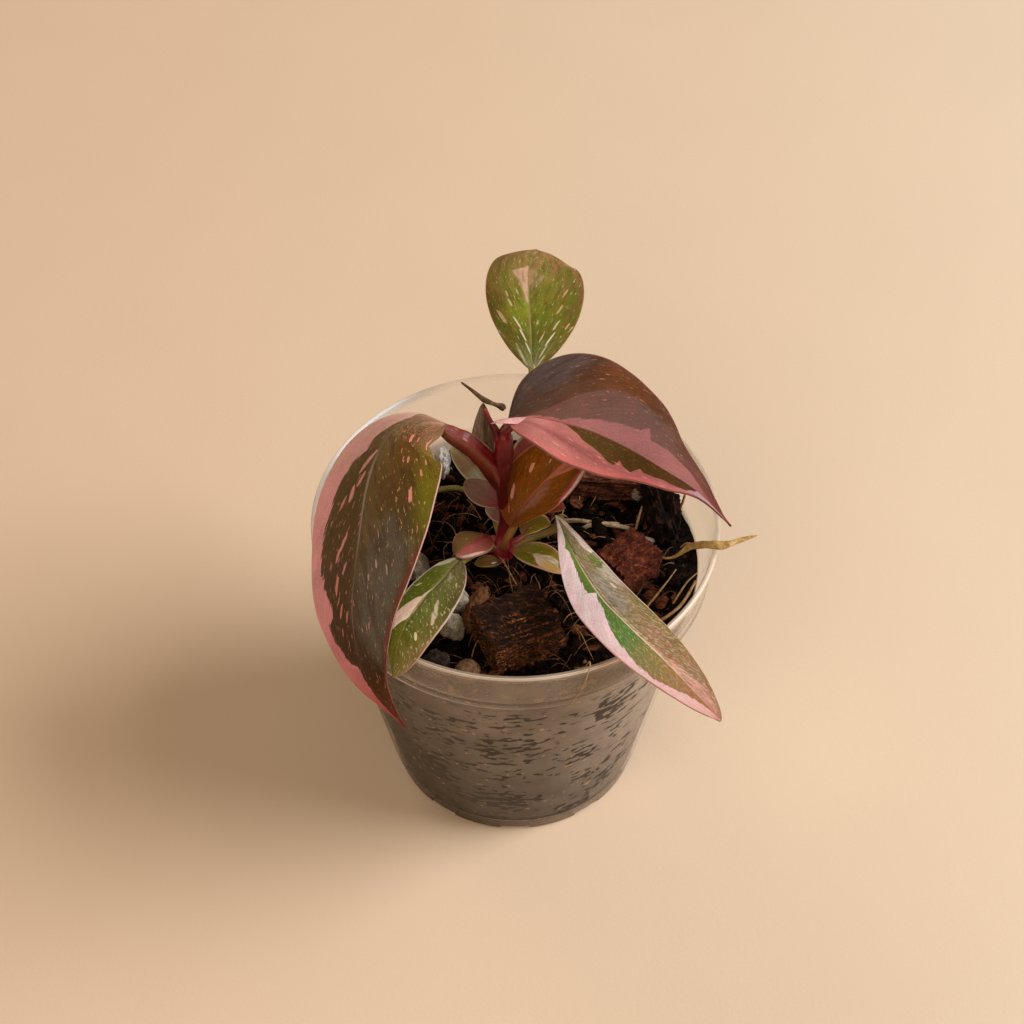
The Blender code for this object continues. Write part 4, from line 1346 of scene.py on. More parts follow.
# Darker copy of the husk for the block's top: painted shade.
HUSK_SHADED_TOP = Grain("coco_husk_shaded_top", ((14, 8, 4), (58, 31, 16), (158, 98, 52)), 2.0,
                 (0.5, 2.2, 1.5), relief=0.6, middle=0.56)
HUSK_STRIP = Grain("coco_husk_strip", ((40, 17, 10), (100, 52, 34), (176, 112, 78)), 2.0,
                   (0.4, 2, 2), relief=0.6, middle=0.52)
RED_HUSK = Grain("red_husk", ((44, 17, 10), (104, 46, 28), (170, 90, 54)), 1.6, (1, 1, 1.6),
                 pits=0.2, relief=0.5, middle=0.52)
CHARCOAL = Grain("charcoal_ridged", ((9, 6, 5), (28, 18, 12), (84, 52, 34)), 2.2,
                 (1.5, 0.5, 1), relief=0.5, middle=0.54, shine=0.1)
FLAKE = Grain("bark_flaky", ((60, 34, 18), (126, 82, 50), (176, 124, 82)), 1.4,
              (2.4, 0.8, 1), relief=0.35)
DARK_BARK = Grain("bark_dark", ((18, 12, 9), (48, 34, 25), (92, 70, 54)), 1.6, relief=0.4)
CLAY = Grain("clay_porous", ((64, 46, 30), (112, 84, 58), (160, 126, 92)), 0.9,
             pits=0.3, relief=0.25)
STONE = Grain("pumice_grey", ((136, 124, 104), (186, 174, 150), (222, 210, 188)), 1.2,
              pits=0.5, relief=0.4, middle=0.46)
PALE_STONE = Grain("pumice_pale", ((176, 164, 138), (228, 218, 196), (240, 234, 216)),
                   1.4, pits=0.3, relief=0.4, middle=0.44)
WHITE_STONE = Grain("pumice_white", ((206, 204, 192), (246, 244, 234), (252, 250, 244)),
                    1.4, pits=0.2, relief=0.3, middle=0.42)

LUMPS = (
    Lump("husk_block_front", Kind.HUSK, (0.5, -24, 2.5), (20.5, 18, 12), 25, 0.05, 0.95, HUSK,
         "coco_husk", 110, 6, HUSK_SHADED_TOP),
    Lump("husk_chunk_right", Kind.HUSK, (25, -5.2, 3), (14.4, 12.4, 12), 40, 0.07, 0.95, RED_HUSK,
         "coco_husk", 60, 6),
    Lump("husk_strip_back", Kind.HUSK, (20, 22.6, 2.6), (24, 9, 8), -4, 0.10, 0.7, HUSK_STRIP,
         "coco_husk", 90, 6),
    Lump("charcoal_right", Kind.CHARCOAL, (33.5, 11.5, 2.5), (8.5, 17, 11), 12, 0.16, 0.6,
         CHARCOAL, "charcoal", 0, 6),
    Lump("bark_flake", Kind.BARK, (-8.5, -16.5, 2.0), (4.5, 12.5, 5), -20, 0.14, 0.4, FLAKE,
         "bark"),
    Lump("bark_front_left", Kind.BARK, (-17, -31.8, 1.2), (6, 5.5, 6), 25, 0.15, 0.4, DARK_BARK,
         "bark"),
    Lump("clay_ball", Kind.CLAY, (-10.3, -34.6, 2.2), (5.6, 5.6, 5.6), 0, 0.05, 0.0, CLAY, "clay"),
    Lump("pumice_1", Kind.PUMICE, (-13, -13.5, 2.3), (5.5, 6.5, 6), 20, 0.12, 0.1, STONE, "pumice"),
    Lump("pumice_2", Kind.PUMICE, (-14, -21.5, 2.2), (5.2, 6.5, 6), 50, 0.12, 0.1, STONE, "pumice"),
    Lump("pumice_3", Kind.PUMICE, (-17, 28.5, 4.0), (4, 5, 9), 0, 0.12, 0.2, WHITE_STONE, "pumice"),
    Lump("pumice_4", Kind.PUMICE, (-22.5, -2.5, 2.2), (6, 7.5, 6), 0, 0.12, 0.1, STONE, "pumice"),
    Lump("pumice_5", Kind.PUMICE, (27.8, 19.5, 2.0), (3, 3, 4.5), 10, 0.12, 0.1, STONE,
         "pumice"),
    Lump("pumice_6", Kind.PUMICE, (29.5, 4, 1.2), (4.4, 2.6, 3), 30, 0.10, 0.1, PALE_STONE,
         "pumice"),
)


@dataclass
class Strand:
    """A loose root, twig or fibre through points with radii."""

    name: str
    points: tuple[Point, ...]
    skin: Grain
    slot: str
    wobble: float = 0.3
    loose: bool = False

    def build(self) -> None:
        """Make the strand."""
        bm = new_mesh()
        radius = max(point[3] for point in self.points)
        sweep(bm, self.points, around=14, cell=max(0.3, radius * 0.6), wobble=self.wobble)
        merge(bm)
        shown(self.name + "_strand", bm, [self.skin.make()], () if self.loose else (self.name,))


ROOT_SKIN = Grain("root_tan", ((150, 112, 56), (204, 166, 100), (232, 206, 156)), 1.6,
                  relief=0.2, roughness=0.6)
PALE_ROOT = Grain("root_pale_skin", ((140, 112, 78), (196, 172, 138), (222, 206, 180)),
                  1.4, relief=0.15, roughness=0.6)
FIBRE = Grain("fibre_golden", ((122, 90, 56), (172, 134, 92), (206, 172, 128)), 1.2,
              relief=0.08, roughness=0.6)
TWIG = Grain("twig_bark", ((56, 40, 28), (112, 84, 58), (160, 128, 92)), 1.1,
             relief=0.25)

STRANDS = (
    Strand("aerial_root", ((30, -2, 68.2, 0.2), (34.5, -5, 71, 0.3), (38.5, -6.5, 76.5, 0.75),
                           (42, -9.5, 80.6, 0.95), (45, -10.2, 81.2, 0.9), (48.5, -9.6, 82.2, 0.55),
                           (52.5, -8.5, 82.6, 0.15)), ROOT_SKIN, "aerial_root"),
    Strand("root_pale", ((13.5, 8.5, 63.8, 0.5), (18, 9, 66.4, 0.5), (23, 8.6, 66.2, 0.5),
                         (28, 9.4, 63.6, 0.5)), PALE_ROOT, "pale_root"),
    Strand("root_branch", ((40, -9, 68, 0.3), (35.5, -18, 69.6, 0.34), (29, -22.5, 68.6, 0.34),
                           (24, -23.5, 67, 0.3)), FIBRE, "pale_root"),
    Strand("fibre_over_rim", ((12.5, -33.5, 68, 0.16), (14.5, -37, 73, 0.16), (15.3, -40.8, 79.7, 0.16),
                              (15.2, -43, 79.9, 0.16), (13.6, -45.6, 76.5, 0.14),
                              (10.5, -46.4, 70, 0.08)), FIBRE, "coco_fibre", 0.1),
    Strand("fibre_right_wall", ((37.6, 13, 67, 0.3), (38.6, 14.2, 72, 0.3), (38.2, 17.4, 78, 0.3),
                                (36, 21.5, 84, 0.15)), FIBRE, "coco_fibre", 0.1),
    Strand("dry_twig", ((-12.5, 36.2, 84.8, 0.2), (-10.2, 35.4, 83.1, 0.4),
                        (-7.3, 34.3, 81, 0.6), (-4.4, 34.1, 79.5, 0.5), (-2.9, 34, 78.8, 0.85),
                        (-2.1, 34, 78.4, 0.7)), TWIG, "dry_twig"),
    Strand("crumb_white", ((34.4, 16.6, 71.4, 0.9), (35.3, 17.2, 72.6, 1.1), (36, 17.6, 73.6, 0.6)),
           WHITE_STONE, "pumice", 0.4, True),
    Strand("fibre_standing", ((29.7, 15.8, 67.4, 0.1), (28.4, 11.7, 67, 0.28), (27.2, 8, 64.5, 0.3)),
           PALE_ROOT, "coco_fibre", 0.2, True),
    Strand("root_level", ((9, 11.4, 64, 0.5), (13, 11, 65.4, 0.55), (17.4, 9.8, 66.2, 0.4),
                          (23.8, 10.1, 65.4, 0.2)), PALE_ROOT, "pale_root", 0.3, True),
    Strand("fibre_right_low", ((35.7, -6.2, 68.6, 0.1), (32.8, -11.2, 69, 0.22),
                               (28.4, -16, 66.5, 0.26)), FIBRE, "coco_fibre", 0.1, True),
    Strand("fibre_right_high", ((40.3, -8.3, 70, 0.1), (37.6, -11, 69.5, 0.2),
                                (34.5, -14.6, 66.5, 0.24)), FIBRE, "coco_fibre", 0.1, True),
    Strand("fibre_crown", ((-4.4, 0.5, 65.5, 0.14), (-3, -2.4, 67.4, 0.16), (-1.4, -6.7, 68.4, 0.18),
                           (0.3, -10.8, 68.6, 0.14)), FIBRE, "coco_fibre", 0.1, True),
    Strand("stub_red", ((1.5, -4.5, 65, 0.5), (1.7, -7.5, 68, 0.75), (1.9, -10.5, 69.6, 0.6)),
           RED_HUSK, "coco_husk", 0.3, True),
    Strand("root_fork", ((40.5, -8, 78.6, 0.5), (38.6, -5, 75.6, 0.35), (37.6, -2.6, 73, 0.2),
                         (36.6, -1.6, 70.4, 0.1)), ROOT_SKIN, "aerial_root", 0.3, True),
)


@dataclass
class Sheath:
    """Dry, thin spear of dead leaf behind the stem."""

    midrib: tuple[Point, ...] = ((-7, 25, 60), (-7, 27, 66), (-7.2, 30.5, 73), (-7.4, 34, 80))
    left: Half = Half(3.4, 0.5, 0.7, (12, 12, 12), 10)
    right: Half = Half(3.2, 0.5, 0.7, (12, 12, 12), 10)
    thickness: float = 0.35

    def build(self) -> None:
        """Make the sheath from the blade of a leaf, whose stalk is left out."""
        skin = Grain("sheath_papery", ((96, 72, 54), (140, 110, 84), (176, 148, 118)),
                     1.2, (4, 0.6, 0.6), relief=0.25, roughness=0.7)
        leaf = Leaf("dry_sheath", list(self.midrib), self.left, self.right, [], 0.5,
                    LeafFinish(flat(140, 110, 84)), GREEN_STALK, quilt=0.25, ripple=0.9, cell=0.4)
        piece = shown("dry_sheath_blade", leaf.blade(), [skin.make()], ("dry_sheath",),
                      180)
        thicken(piece, self.thickness)


@dataclass
class Studio:
    """Pale floor, a large soft light from the right, two weak ones, even fill, and the camera."""

    floor_size: float = 6.0
    lens: float = 77.34
    eye: Point = (-0.0008, -0.3215, 0.4408)
    target: Point = (-0.00076, 0.0008, 0.0797)
    key: tuple[Point, float, float] = ((1.35, -0.02, 0.98), 1.15, 31.0)
    front: tuple[Point, float, float] = ((-0.3, -0.85, 1.0), 1.0, 5.4)
    back: tuple[Point, float, float] = ((-0.75, 0.95, 0.75), 0.8, 3.0)
    key_colour: Colour = (1.0, 0.985, 0.965)
    weak_colour: Colour = (1.0, 0.86, 0.72)
    fill: Colour = (0.150, 0.106, 0.062)
    left_paper: Colour = (0.80, 0.598, 0.424)
    right_paper: Colour = (0.79, 0.66, 0.512)

    def floor(self) -> None:
        """Lay the floor."""
        bm = new_mesh()
        bmesh.ops.create_grid(bm, x_segments=1, y_segments=1, size=self.floor_size / 2,
                              calc_uvs=True)
        floor = placed("floor", bm)
        floor.data.materials.append(self.paper())

    def paper(self) -> bpy.types.Material:
        """Pale paper that is a little warmer on the left."""
        paint = Paint("floor_paper")
        fine = paint.noise(paint.millimetres(), 1.2, 3, 0.7)
        broad = paint.noise(paint.millimetres(), 0.02, 2)
        tint = fine * 0.03 + broad * 0.05 + 0.96
        across, _, _ = paint.parts(paint.millimetres())
        paper = paint.mix(paint.step(across, 40, 260), self.left_paper, self.right_paper)
        return paint.finish(Base_Color=paint.shaded(paper, tint), Roughness=0.9,
                            Specular_IOR_Level=0.2, Normal=paint.bump(fine, 0.05))

    @staticmethod
    def aim(thing: bpy.types.Object, target: Point) -> None:
        """Turn a light or camera to look at a point."""
        way = Vector(target) - thing.location
        thing.rotation_euler = way.to_track_quat("-Z", "Y").to_euler()

    def light(self, name: str, colour: Colour, place: Point, size: float, power: float) -> None:
        """Add a round soft light that looks at the plant.

        Args:
            name: Name of the light.
            colour: Its colour.
            place: Where it is, in metres.
            size: Its diameter in metres.
            power: Its power in watts.
        """
        lamp = bpy.data.lights.new(name, "AREA")
        lamp.shape = "DISK"
        lamp.size = size
        lamp.energy = power
        lamp.color = colour
        light = bpy.data.objects.new(name, lamp)
        light.location = place
        bpy.context.scene.collection.objects.link(light)
        self.aim(light, (0, 0, 0.05))

    def lights(self) -> None:
        """The key light, two weak lights in front and behind, and the even fill."""
        self.light("key", self.key_colour, *self.key)
        self.light("front", self.weak_colour, *self.front)
        self.light("back", self.weak_colour, *self.back)
        world = bpy.data.worlds.new("studio")
        world.use_nodes = True
        world.node_tree.nodes["Background"].inputs["Color"].default_value = (*self.fill, 1)
        bpy.context.scene.world = world

    def camera(self) -> None:
        """The camera at the photograph's angle."""
        lens = bpy.data.cameras.new("camera")
        lens.lens = self.lens
        lens.sensor_width = 36
        lens.clip_start = 0.01
        camera = bpy.data.objects.new("camera", lens)
        camera.location = self.eye
        bpy.context.scene.collection.objects.link(camera)
        self.aim(camera, self.target)
        bpy.context.scene.camera = camera

    def build(self) -> None:
        """Make the studio."""
        self.floor()
        self.lights()
        self.camera()
        bpy.context.scene.view_settings.view_transform = "Standard"


L, R = Side.LEFT, Side.RIGHT
RED_STALK = Stalk("petiole_red", tones((0, 88, 14, 14), (0.07, 92, 20, 12), (0.15, 122, 42, 22),
                                       (0.25, 128, 56, 40), (0.5, 130, 70, 50), (1, 120, 80, 56)),
                  groove=tones((0, 110, 14, 20), (0.1, 130, 22, 24), (0.2, 122, 32, 28),
                               (0.3, 130, 56, 44), (1, 140, 96, 78)), edge=flat(136, 74, 52))
GREEN_STALK = Stalk("petiole_green", tones((0, 150, 120, 66), (0.4, 146, 134, 66), (1, 160, 160, 96)))
ORANGE_STALK = Stalk("petiole_orange", tones((0, 120, 36, 32), (0.2, 138, 80, 36), (0.5, 140, 95, 40),
                                             (1, 120, 85, 40)))
MAUVE_STALK = Stalk("petiole_mauve", tones((0, 170, 36, 50), (0.4, 176, 80, 80), (1, 180, 130, 112)))

LEFT_LARGE = LeafFinish(
    ground=tones((0, 176, 138, 114), (0.07, 152, 120, 92), (0.13, 110, 88, 56), (0.3, 96, 78, 42),
        (0.5, 96, 75, 50), (0.65, 88, 68, 46), (0.78, 70, 50, 30), (0.86, 72, 38, 12),
        (0.93, 96, 40, 22), (1, 106, 36, 28)),
    bands=(
        Band(L, tones((0, 130, 88, 54), (0.15, 100, 68, 28), (0.4, 82, 62, 30)),
            inner=((0, 0.2), (0.4, 0.15), (0.46, 1)), ragged=0.4, soft=0.15),
        Band(L, tones((0, 132, 96, 60), (0.12, 114, 90, 36), (0.3, 112, 99, 20), (0.45, 96, 88, 26)),
            inner=((0, 0.9), (0.1, 0.5), (0.2, 0.62), (0.3, 0.68), (0.4, 0.78), (0.5, 0.95), (0.55, 1)),
            ragged=0.3, soft=0.14),
        # Grey band over the left half: painted sheen.
        Band(L, flat(90, 78, 62),
            inner=((0, 1), (0.3, 0.9), (0.4, 0.35), (0.5, 0.12), (0.7, 0.12), (0.78, 0.5), (0.83, 1)),
            outer=((0, 0), (0.3, 0.2), (0.42, 0.6), (0.52, 0.92), (0.8, 0.9)), ragged=0.4, soft=0.16),
        Band(L, flat(112, 66, 52),
            inner=((0, 1), (0.42, 1), (0.5, 0.88), (0.75, 0.84), (0.85, 0.9), (1, 1)), ragged=0.1,
            soft=0.06),
        Band(R,
            tones((0, 246, 200, 188), (0.1, 244, 196, 186), (0.2, 238, 180, 178), (0.35, 236, 168, 174),
                (0.6, 232, 160, 168), (0.8, 206, 128, 134), (0.9, 184, 94, 98), (1, 160, 68, 66)),
            inner=((0, 1.1), (0.04, 0.9), (0.06, 0.3), (0.09, 0.07), (0.15, 0.13), (0.18, 0.24),
                (0.22, 0.24), (0.25, 0.42), (0.3, 0.51), (0.35, 0.58), (0.4, 0.63), (0.46, 0.71),
                (0.53, 0.74), (0.57, 0.64), (0.6, 0.6), (0.625, 0.5), (0.66, 0.48), (0.68, 0.66),
                (0.72, 0.67), (0.75, 0.52), (0.78, 0.42), (0.79, 0.14), (0.85, 0.1), (0.9, 0.14),
                (1, 0.3)), ragged=0.3, soft=0.012),
    ),
    flecks=(
        Flecks((64, 44, 20), 0.56, (2.2, 9), L, seed=21, cover=0.35),
        Flecks((216, 146, 134), 0.665, (1.8, 4.5), R, inner=((0, 0.05),), outer=((0, 0.9), (0.8, 0.6)),
            seed=1),
        Flecks((206, 140, 122), 0.665, (0.8, 1.7), R, outer=((0, 0.9),), seed=2),
        Flecks((212, 156, 138), 0.57, (0.45, 0.5), outer=((0, 1.2), (0.13, 1.1), (0.17, 0)), seed=17,
            cover=0.35),
        Flecks((206, 146, 108), 0.675, (0.8, 2.2), L, outer=((0, 1), (0.5, 0.9)), seed=3),
        Flecks((200, 172, 100), 0.675, (0.7, 1.1), L, inner=((0, 0.3),),
            outer=((0, 1.1), (0.45, 1.1), (0.55, 0)), seed=7),
        Flecks((140, 124, 104), 0.675, (0.7, 1.6), L, inner=((0, 1), (0.4, 1), (0.45, 0.1)), seed=9),
    ),
    spots=marks(R, (0.25, 0.11, 3.0, 0.5, 220, 158, 146), (0.3, 0.12, 1.6, 0.5, 216, 150, 140),
        (0.335, 0.23, 1.2, 0.85, 222, 150, 144), (0.36, 0.36, 1.8, 0.35, 210, 144, 134),
        (0.45, 0.22, 0.9, 0.4, 214, 140, 134), (0.47, 0.27, 1.7, 0.45, 214, 144, 138),
        (0.5, 0.35, 1.7, 0.45, 214, 144, 138), (0.535, 0.2, 1.3, 0.35, 212, 148, 138),
        (0.578, 0.34, 1.3, 0.9, 220, 142, 136), (0.645, 0.25, 1.4, 0.4, 212, 138, 128),
        (0.66, 0.12, 1.2, 0.4, 200, 128, 118), (0.7, 0.3, 0.8, 0.3, 200, 128, 118))
        + marks(L, (0.06, 0.88, 2.0, 0.6, 216, 140, 122), (0.09, 0.7, 1.6, 0.6, 214, 140, 124),
            (0.13, 0.35, 1.2, 0.6, 212, 138, 120), (0.11, 0.47, 0.8, 0.4, 212, 138, 120),
            (0.22, 0.47, 0.6, 0.4, 212, 132, 112), (0.205, 0.74, 0.7, 0.4, 212, 132, 116),
            (0.25, 0.71, 1.0, 0.35, 212, 140, 116), (0.33, 0.64, 1.3, 0.8, 218, 142, 124),
            (0.525, 0.35, 0.9, 0.35, 170, 130, 112), (0.54, 0.55, 1.3, 0.25, 150, 126, 108),
            (0.56, 0.26, 0.8, 0.3, 160, 128, 108), (0.69, 0.4, 0.8, 0.3, 156, 118, 98)),
    rib=tones((0, 156, 112, 80), (0.2, 118, 94, 66), (0.28, 148, 130, 114), (0.45, 136, 118, 102),
        (0.55, 104, 88, 70), (0.65, 128, 112, 100), (0.75, 96, 78, 62), (0.85, 86, 48, 34),
        (1, 120, 50, 42)), rib_width=0.34,
    margin=tones((0, 180, 130, 100), (0.3, 224, 190, 178), (0.6, 216, 170, 158), (1, 150, 70, 60)),
    below=tones((0, 150, 90, 84), (0.6, 128, 72, 66), (1, 130, 52, 48)), slant=1.9, vein_gap=5.4)

RIGHT_LARGE = LeafFinish(
    ground=tones((0, 96, 58, 46), (0.15, 108, 72, 60), (0.5, 98, 66, 57), (0.75, 96, 56, 44),
        (0.93, 112, 52, 40), (1, 128, 50, 38)),
    bands=(
        Band(L,
            tones((0, 84, 62, 52), (0.15, 84, 58, 44), (0.28, 84, 50, 30), (0.36, 102, 54, 20),
                (0.5, 92, 48, 17), (0.65, 92, 52, 32), (0.78, 98, 54, 42), (1, 104, 44, 34)),
            inner=((0, 0.02), (0.08, 0.06), (0.15, 0.16), (0.2, 0.28), (0.25, 0.4), (0.3, 0.5),
                (0.35, 0.6), (0.4, 0.68), (0.5, 0.73), (0.6, 0.78), (0.7, 0.84), (0.8, 0.8), (1, 0.6)),
            ragged=0.06, soft=0.02),
        # Greyish band by the left margin near the base: painted sheen.
        Band(L, flat(84, 68, 64), inner=((0, 0.35), (0.2, 0.55), (0.28, 0.9), (0.32, 1)), ragged=0.3,
            soft=0.16),
        Band(L,
            tones((0, 172, 102, 98), (0.3, 154, 96, 94), (0.45, 140, 86, 84), (0.6, 142, 86, 82),
                (0.8, 144, 86, 82), (1, 126, 58, 50)),
            outer=((0, 0.02), (0.2, 0.04), (0.25, 0.08), (0.3, 0.13), (0.35, 0.18), (0.4, 0.23),
                (0.5, 0.32), (0.53, 0.46), (0.555, 0.3), (0.6, 0.36), (0.65, 0.43), (0.75, 0.45),
                (0.82, 0.3), (0.88, 0.12), (1, 0.05)), ragged=0.1, soft=0.015),
        Band(R,
            tones((0, 184, 118, 112), (0.12, 188, 120, 114), (0.28, 172, 104, 98), (0.42, 158, 88, 84),
                (0.6, 156, 86, 84), (0.74, 160, 98, 96), (0.82, 172, 142, 148), (0.9, 168, 140, 146),
                (0.95, 150, 80, 74), (1, 128, 50, 42)), inner=((0, 0),)),
        Band(R, flat(148, 84, 80), inner=((0, 0.2), (0.3, 0.45), (0.9, 0.6)),
            outer=((0, 0.2), (0.25, 0.6), (0.45, 0.84), (0.7, 0.8), (0.8, 0.3)), ragged=0.2, soft=0.1),
        Band(R,
            tones((0, 200, 118, 112), (0.35, 186, 102, 98), (0.6, 168, 84, 82), (0.8, 164, 92, 92),
                (1, 126, 50, 42)), inner=((0, 0.8), (0.2, 0.84), (0.7, 0.88), (1, 0.9)), ragged=0.15,
            soft=0.08),
        Band(R, tones((0, 86, 60, 24), (0.35, 76, 54, 20), (0.6, 66, 40, 8), (0.8, 78, 44, 18)),
            outer=((0, 0), (0.21, 0), (0.23, 0.05), (0.27, 0.16), (0.3, 0.28), (0.35, 0.38),
                (0.4, 0.51), (0.42, 0.61), (0.45, 0.65), (0.47, 0.46), (0.49, 0.6), (0.53, 0.73),
                (0.56, 0.49), (0.58, 0.6), (0.62, 0.61), (0.66, 0.56), (0.7, 0.66), (0.76, 0.7),
                (0.8, 0.35), (0.81, 0)), ragged=0.16, soft=0.012),
    ),
    flecks=(
        Flecks((176, 104, 92), 0.675, (0.7, 2.2), L, inner=((0, 0.0), (0.3, 0.15)),
            outer=((0, 0.3), (0.3, 0.6), (0.6, 0.8)), seed=5),
        Flecks((176, 124, 80), 0.66, (0.45, 1.6), L, inner=((0, 0.3), (0.35, 0.6)), seed=1, cover=0.6),
        Flecks((60, 34, 12), 0.56, (1.2, 7), L, inner=((0, 0.2), (0.4, 0.65)), seed=8, cover=0.35),
        Flecks((166, 130, 70), 0.67, (0.4, 0.8), R,
            outer=((0, 0), (0.3, 0.2), (0.45, 0.5), (0.75, 0.5), (0.8, 0)), seed=9),
        Flecks((226, 140, 132), 0.66, (0.6, 3.0), R, inner=((0, 0), (0.3, 0.4), (0.8, 0.7)), seed=13),
    ),
    rib=tones((0, 214, 150, 140), (0.2, 150, 84, 70), (0.35, 96, 54, 34), (0.8, 96, 56, 36),
        (1, 120, 50, 40)), rib_width=0.28,
    margin=tones((0, 120, 84, 70), (0.5, 150, 84, 66), (1, 140, 60, 50)), margin_width=0.22,
    below=tones((0, 176, 108, 104), (0.5, 150, 84, 76), (1, 120, 56, 50)), slant=1.7, vein_gap=6.1)

BACK = LeafFinish(
    ground=tones((0, 176, 170, 134), (0.1, 138, 134, 86), (0.25, 106, 106, 34), (0.45, 134, 138, 38),
        (0.62, 134, 126, 52), (0.75, 148, 128, 70), (0.9, 158, 122, 78), (1, 170, 130, 88)),
    edge=tones((0, 116, 108, 44), (0.5, 122, 100, 44), (0.7, 138, 106, 58), (1, 160, 122, 80)),
    bands=(
        Band(L, flat(206, 166, 138),
            outer=((0, 0), (0.48, 0), (0.52, 0.08), (0.6, 0.13), (0.68, 0.24), (0.75, 0.4), (0.78, 0.1),
                (0.8, 0)), inner=((0, 0), (0.6, 0.0), (0.76, 0.02)), ragged=0.1, soft=0.03),
        Band(L, flat(188, 186, 156), inner=((0, 0.5), (0.22, 0.56), (0.24, 1)),
            outer=((0, 0.9), (0.05, 0.8), (0.1, 0.68), (0.23, 0.6), (0.25, 0)), ragged=0.15, soft=0.05),
        Band(R, flat(176, 148, 108),
            outer=((0, 0), (0.58, 0), (0.64, 0.14), (0.7, 0.3), (0.76, 0.1), (0.8, 0)), ragged=0.3,
            soft=0.08),
    ),
    flecks=(
        Flecks((92, 118, 18), 0.53, (1.4, 4.5), seed=8, cover=0.45),
        Flecks((96, 78, 30), 0.56, (1.8, 3.5), seed=31, cover=0.4),
        Flecks((206, 206, 160), 0.675, (0.7, 2.0), L, inner=((0, 0.05),), seed=2),
        Flecks((212, 208, 166), 0.67, (0.7, 2.0), R, seed=4),
        Flecks((196, 190, 116), 0.68, (0.5, 0.8), seed=6),
    ),
    spots=marks(L, (0.18, 0.17, 1.6, 0.3, 214, 208, 182), (0.27, 0.25, 1.7, 0.36, 218, 210, 186),
        (0.36, 0.34, 1.7, 0.3, 212, 204, 170), (0.42, 0.72, 1.7, 0.55, 206, 180, 140),
        (0.52, 0.45, 1.0, 0.3, 200, 190, 140), (0.58, 0.5, 0.7, 0.25, 196, 176, 130))
        + marks(R, (0.07, 0.5, 1.5, 0.4, 222, 218, 190), (0.14, 0.42, 1.6, 0.36, 220, 214, 184),
            (0.23, 0.5, 1.8, 0.34, 220, 212, 182), (0.24, 0.27, 1.0, 0.25, 200, 196, 140),
            (0.33, 0.56, 1.4, 0.28, 208, 200, 160), (0.32, 0.82, 0.6, 0.3, 208, 170, 120),
            (0.45, 0.58, 1.2, 0.25, 200, 190, 130), (0.57, 0.66, 1.2, 0.22, 196, 176, 130)),
    rib=tones((0, 190, 184, 130), (0.5, 150, 148, 74), (1, 160, 126, 84)), rib_width=0.22,
    margin=tones((0, 140, 130, 70), (0.6, 150, 116, 70), (1, 160, 122, 86)), margin_width=0.2,
    below=tones((0, 150, 150, 96), (1, 150, 126, 92)), slant=1.5, vein_gap=4.3, gloss=0.46)

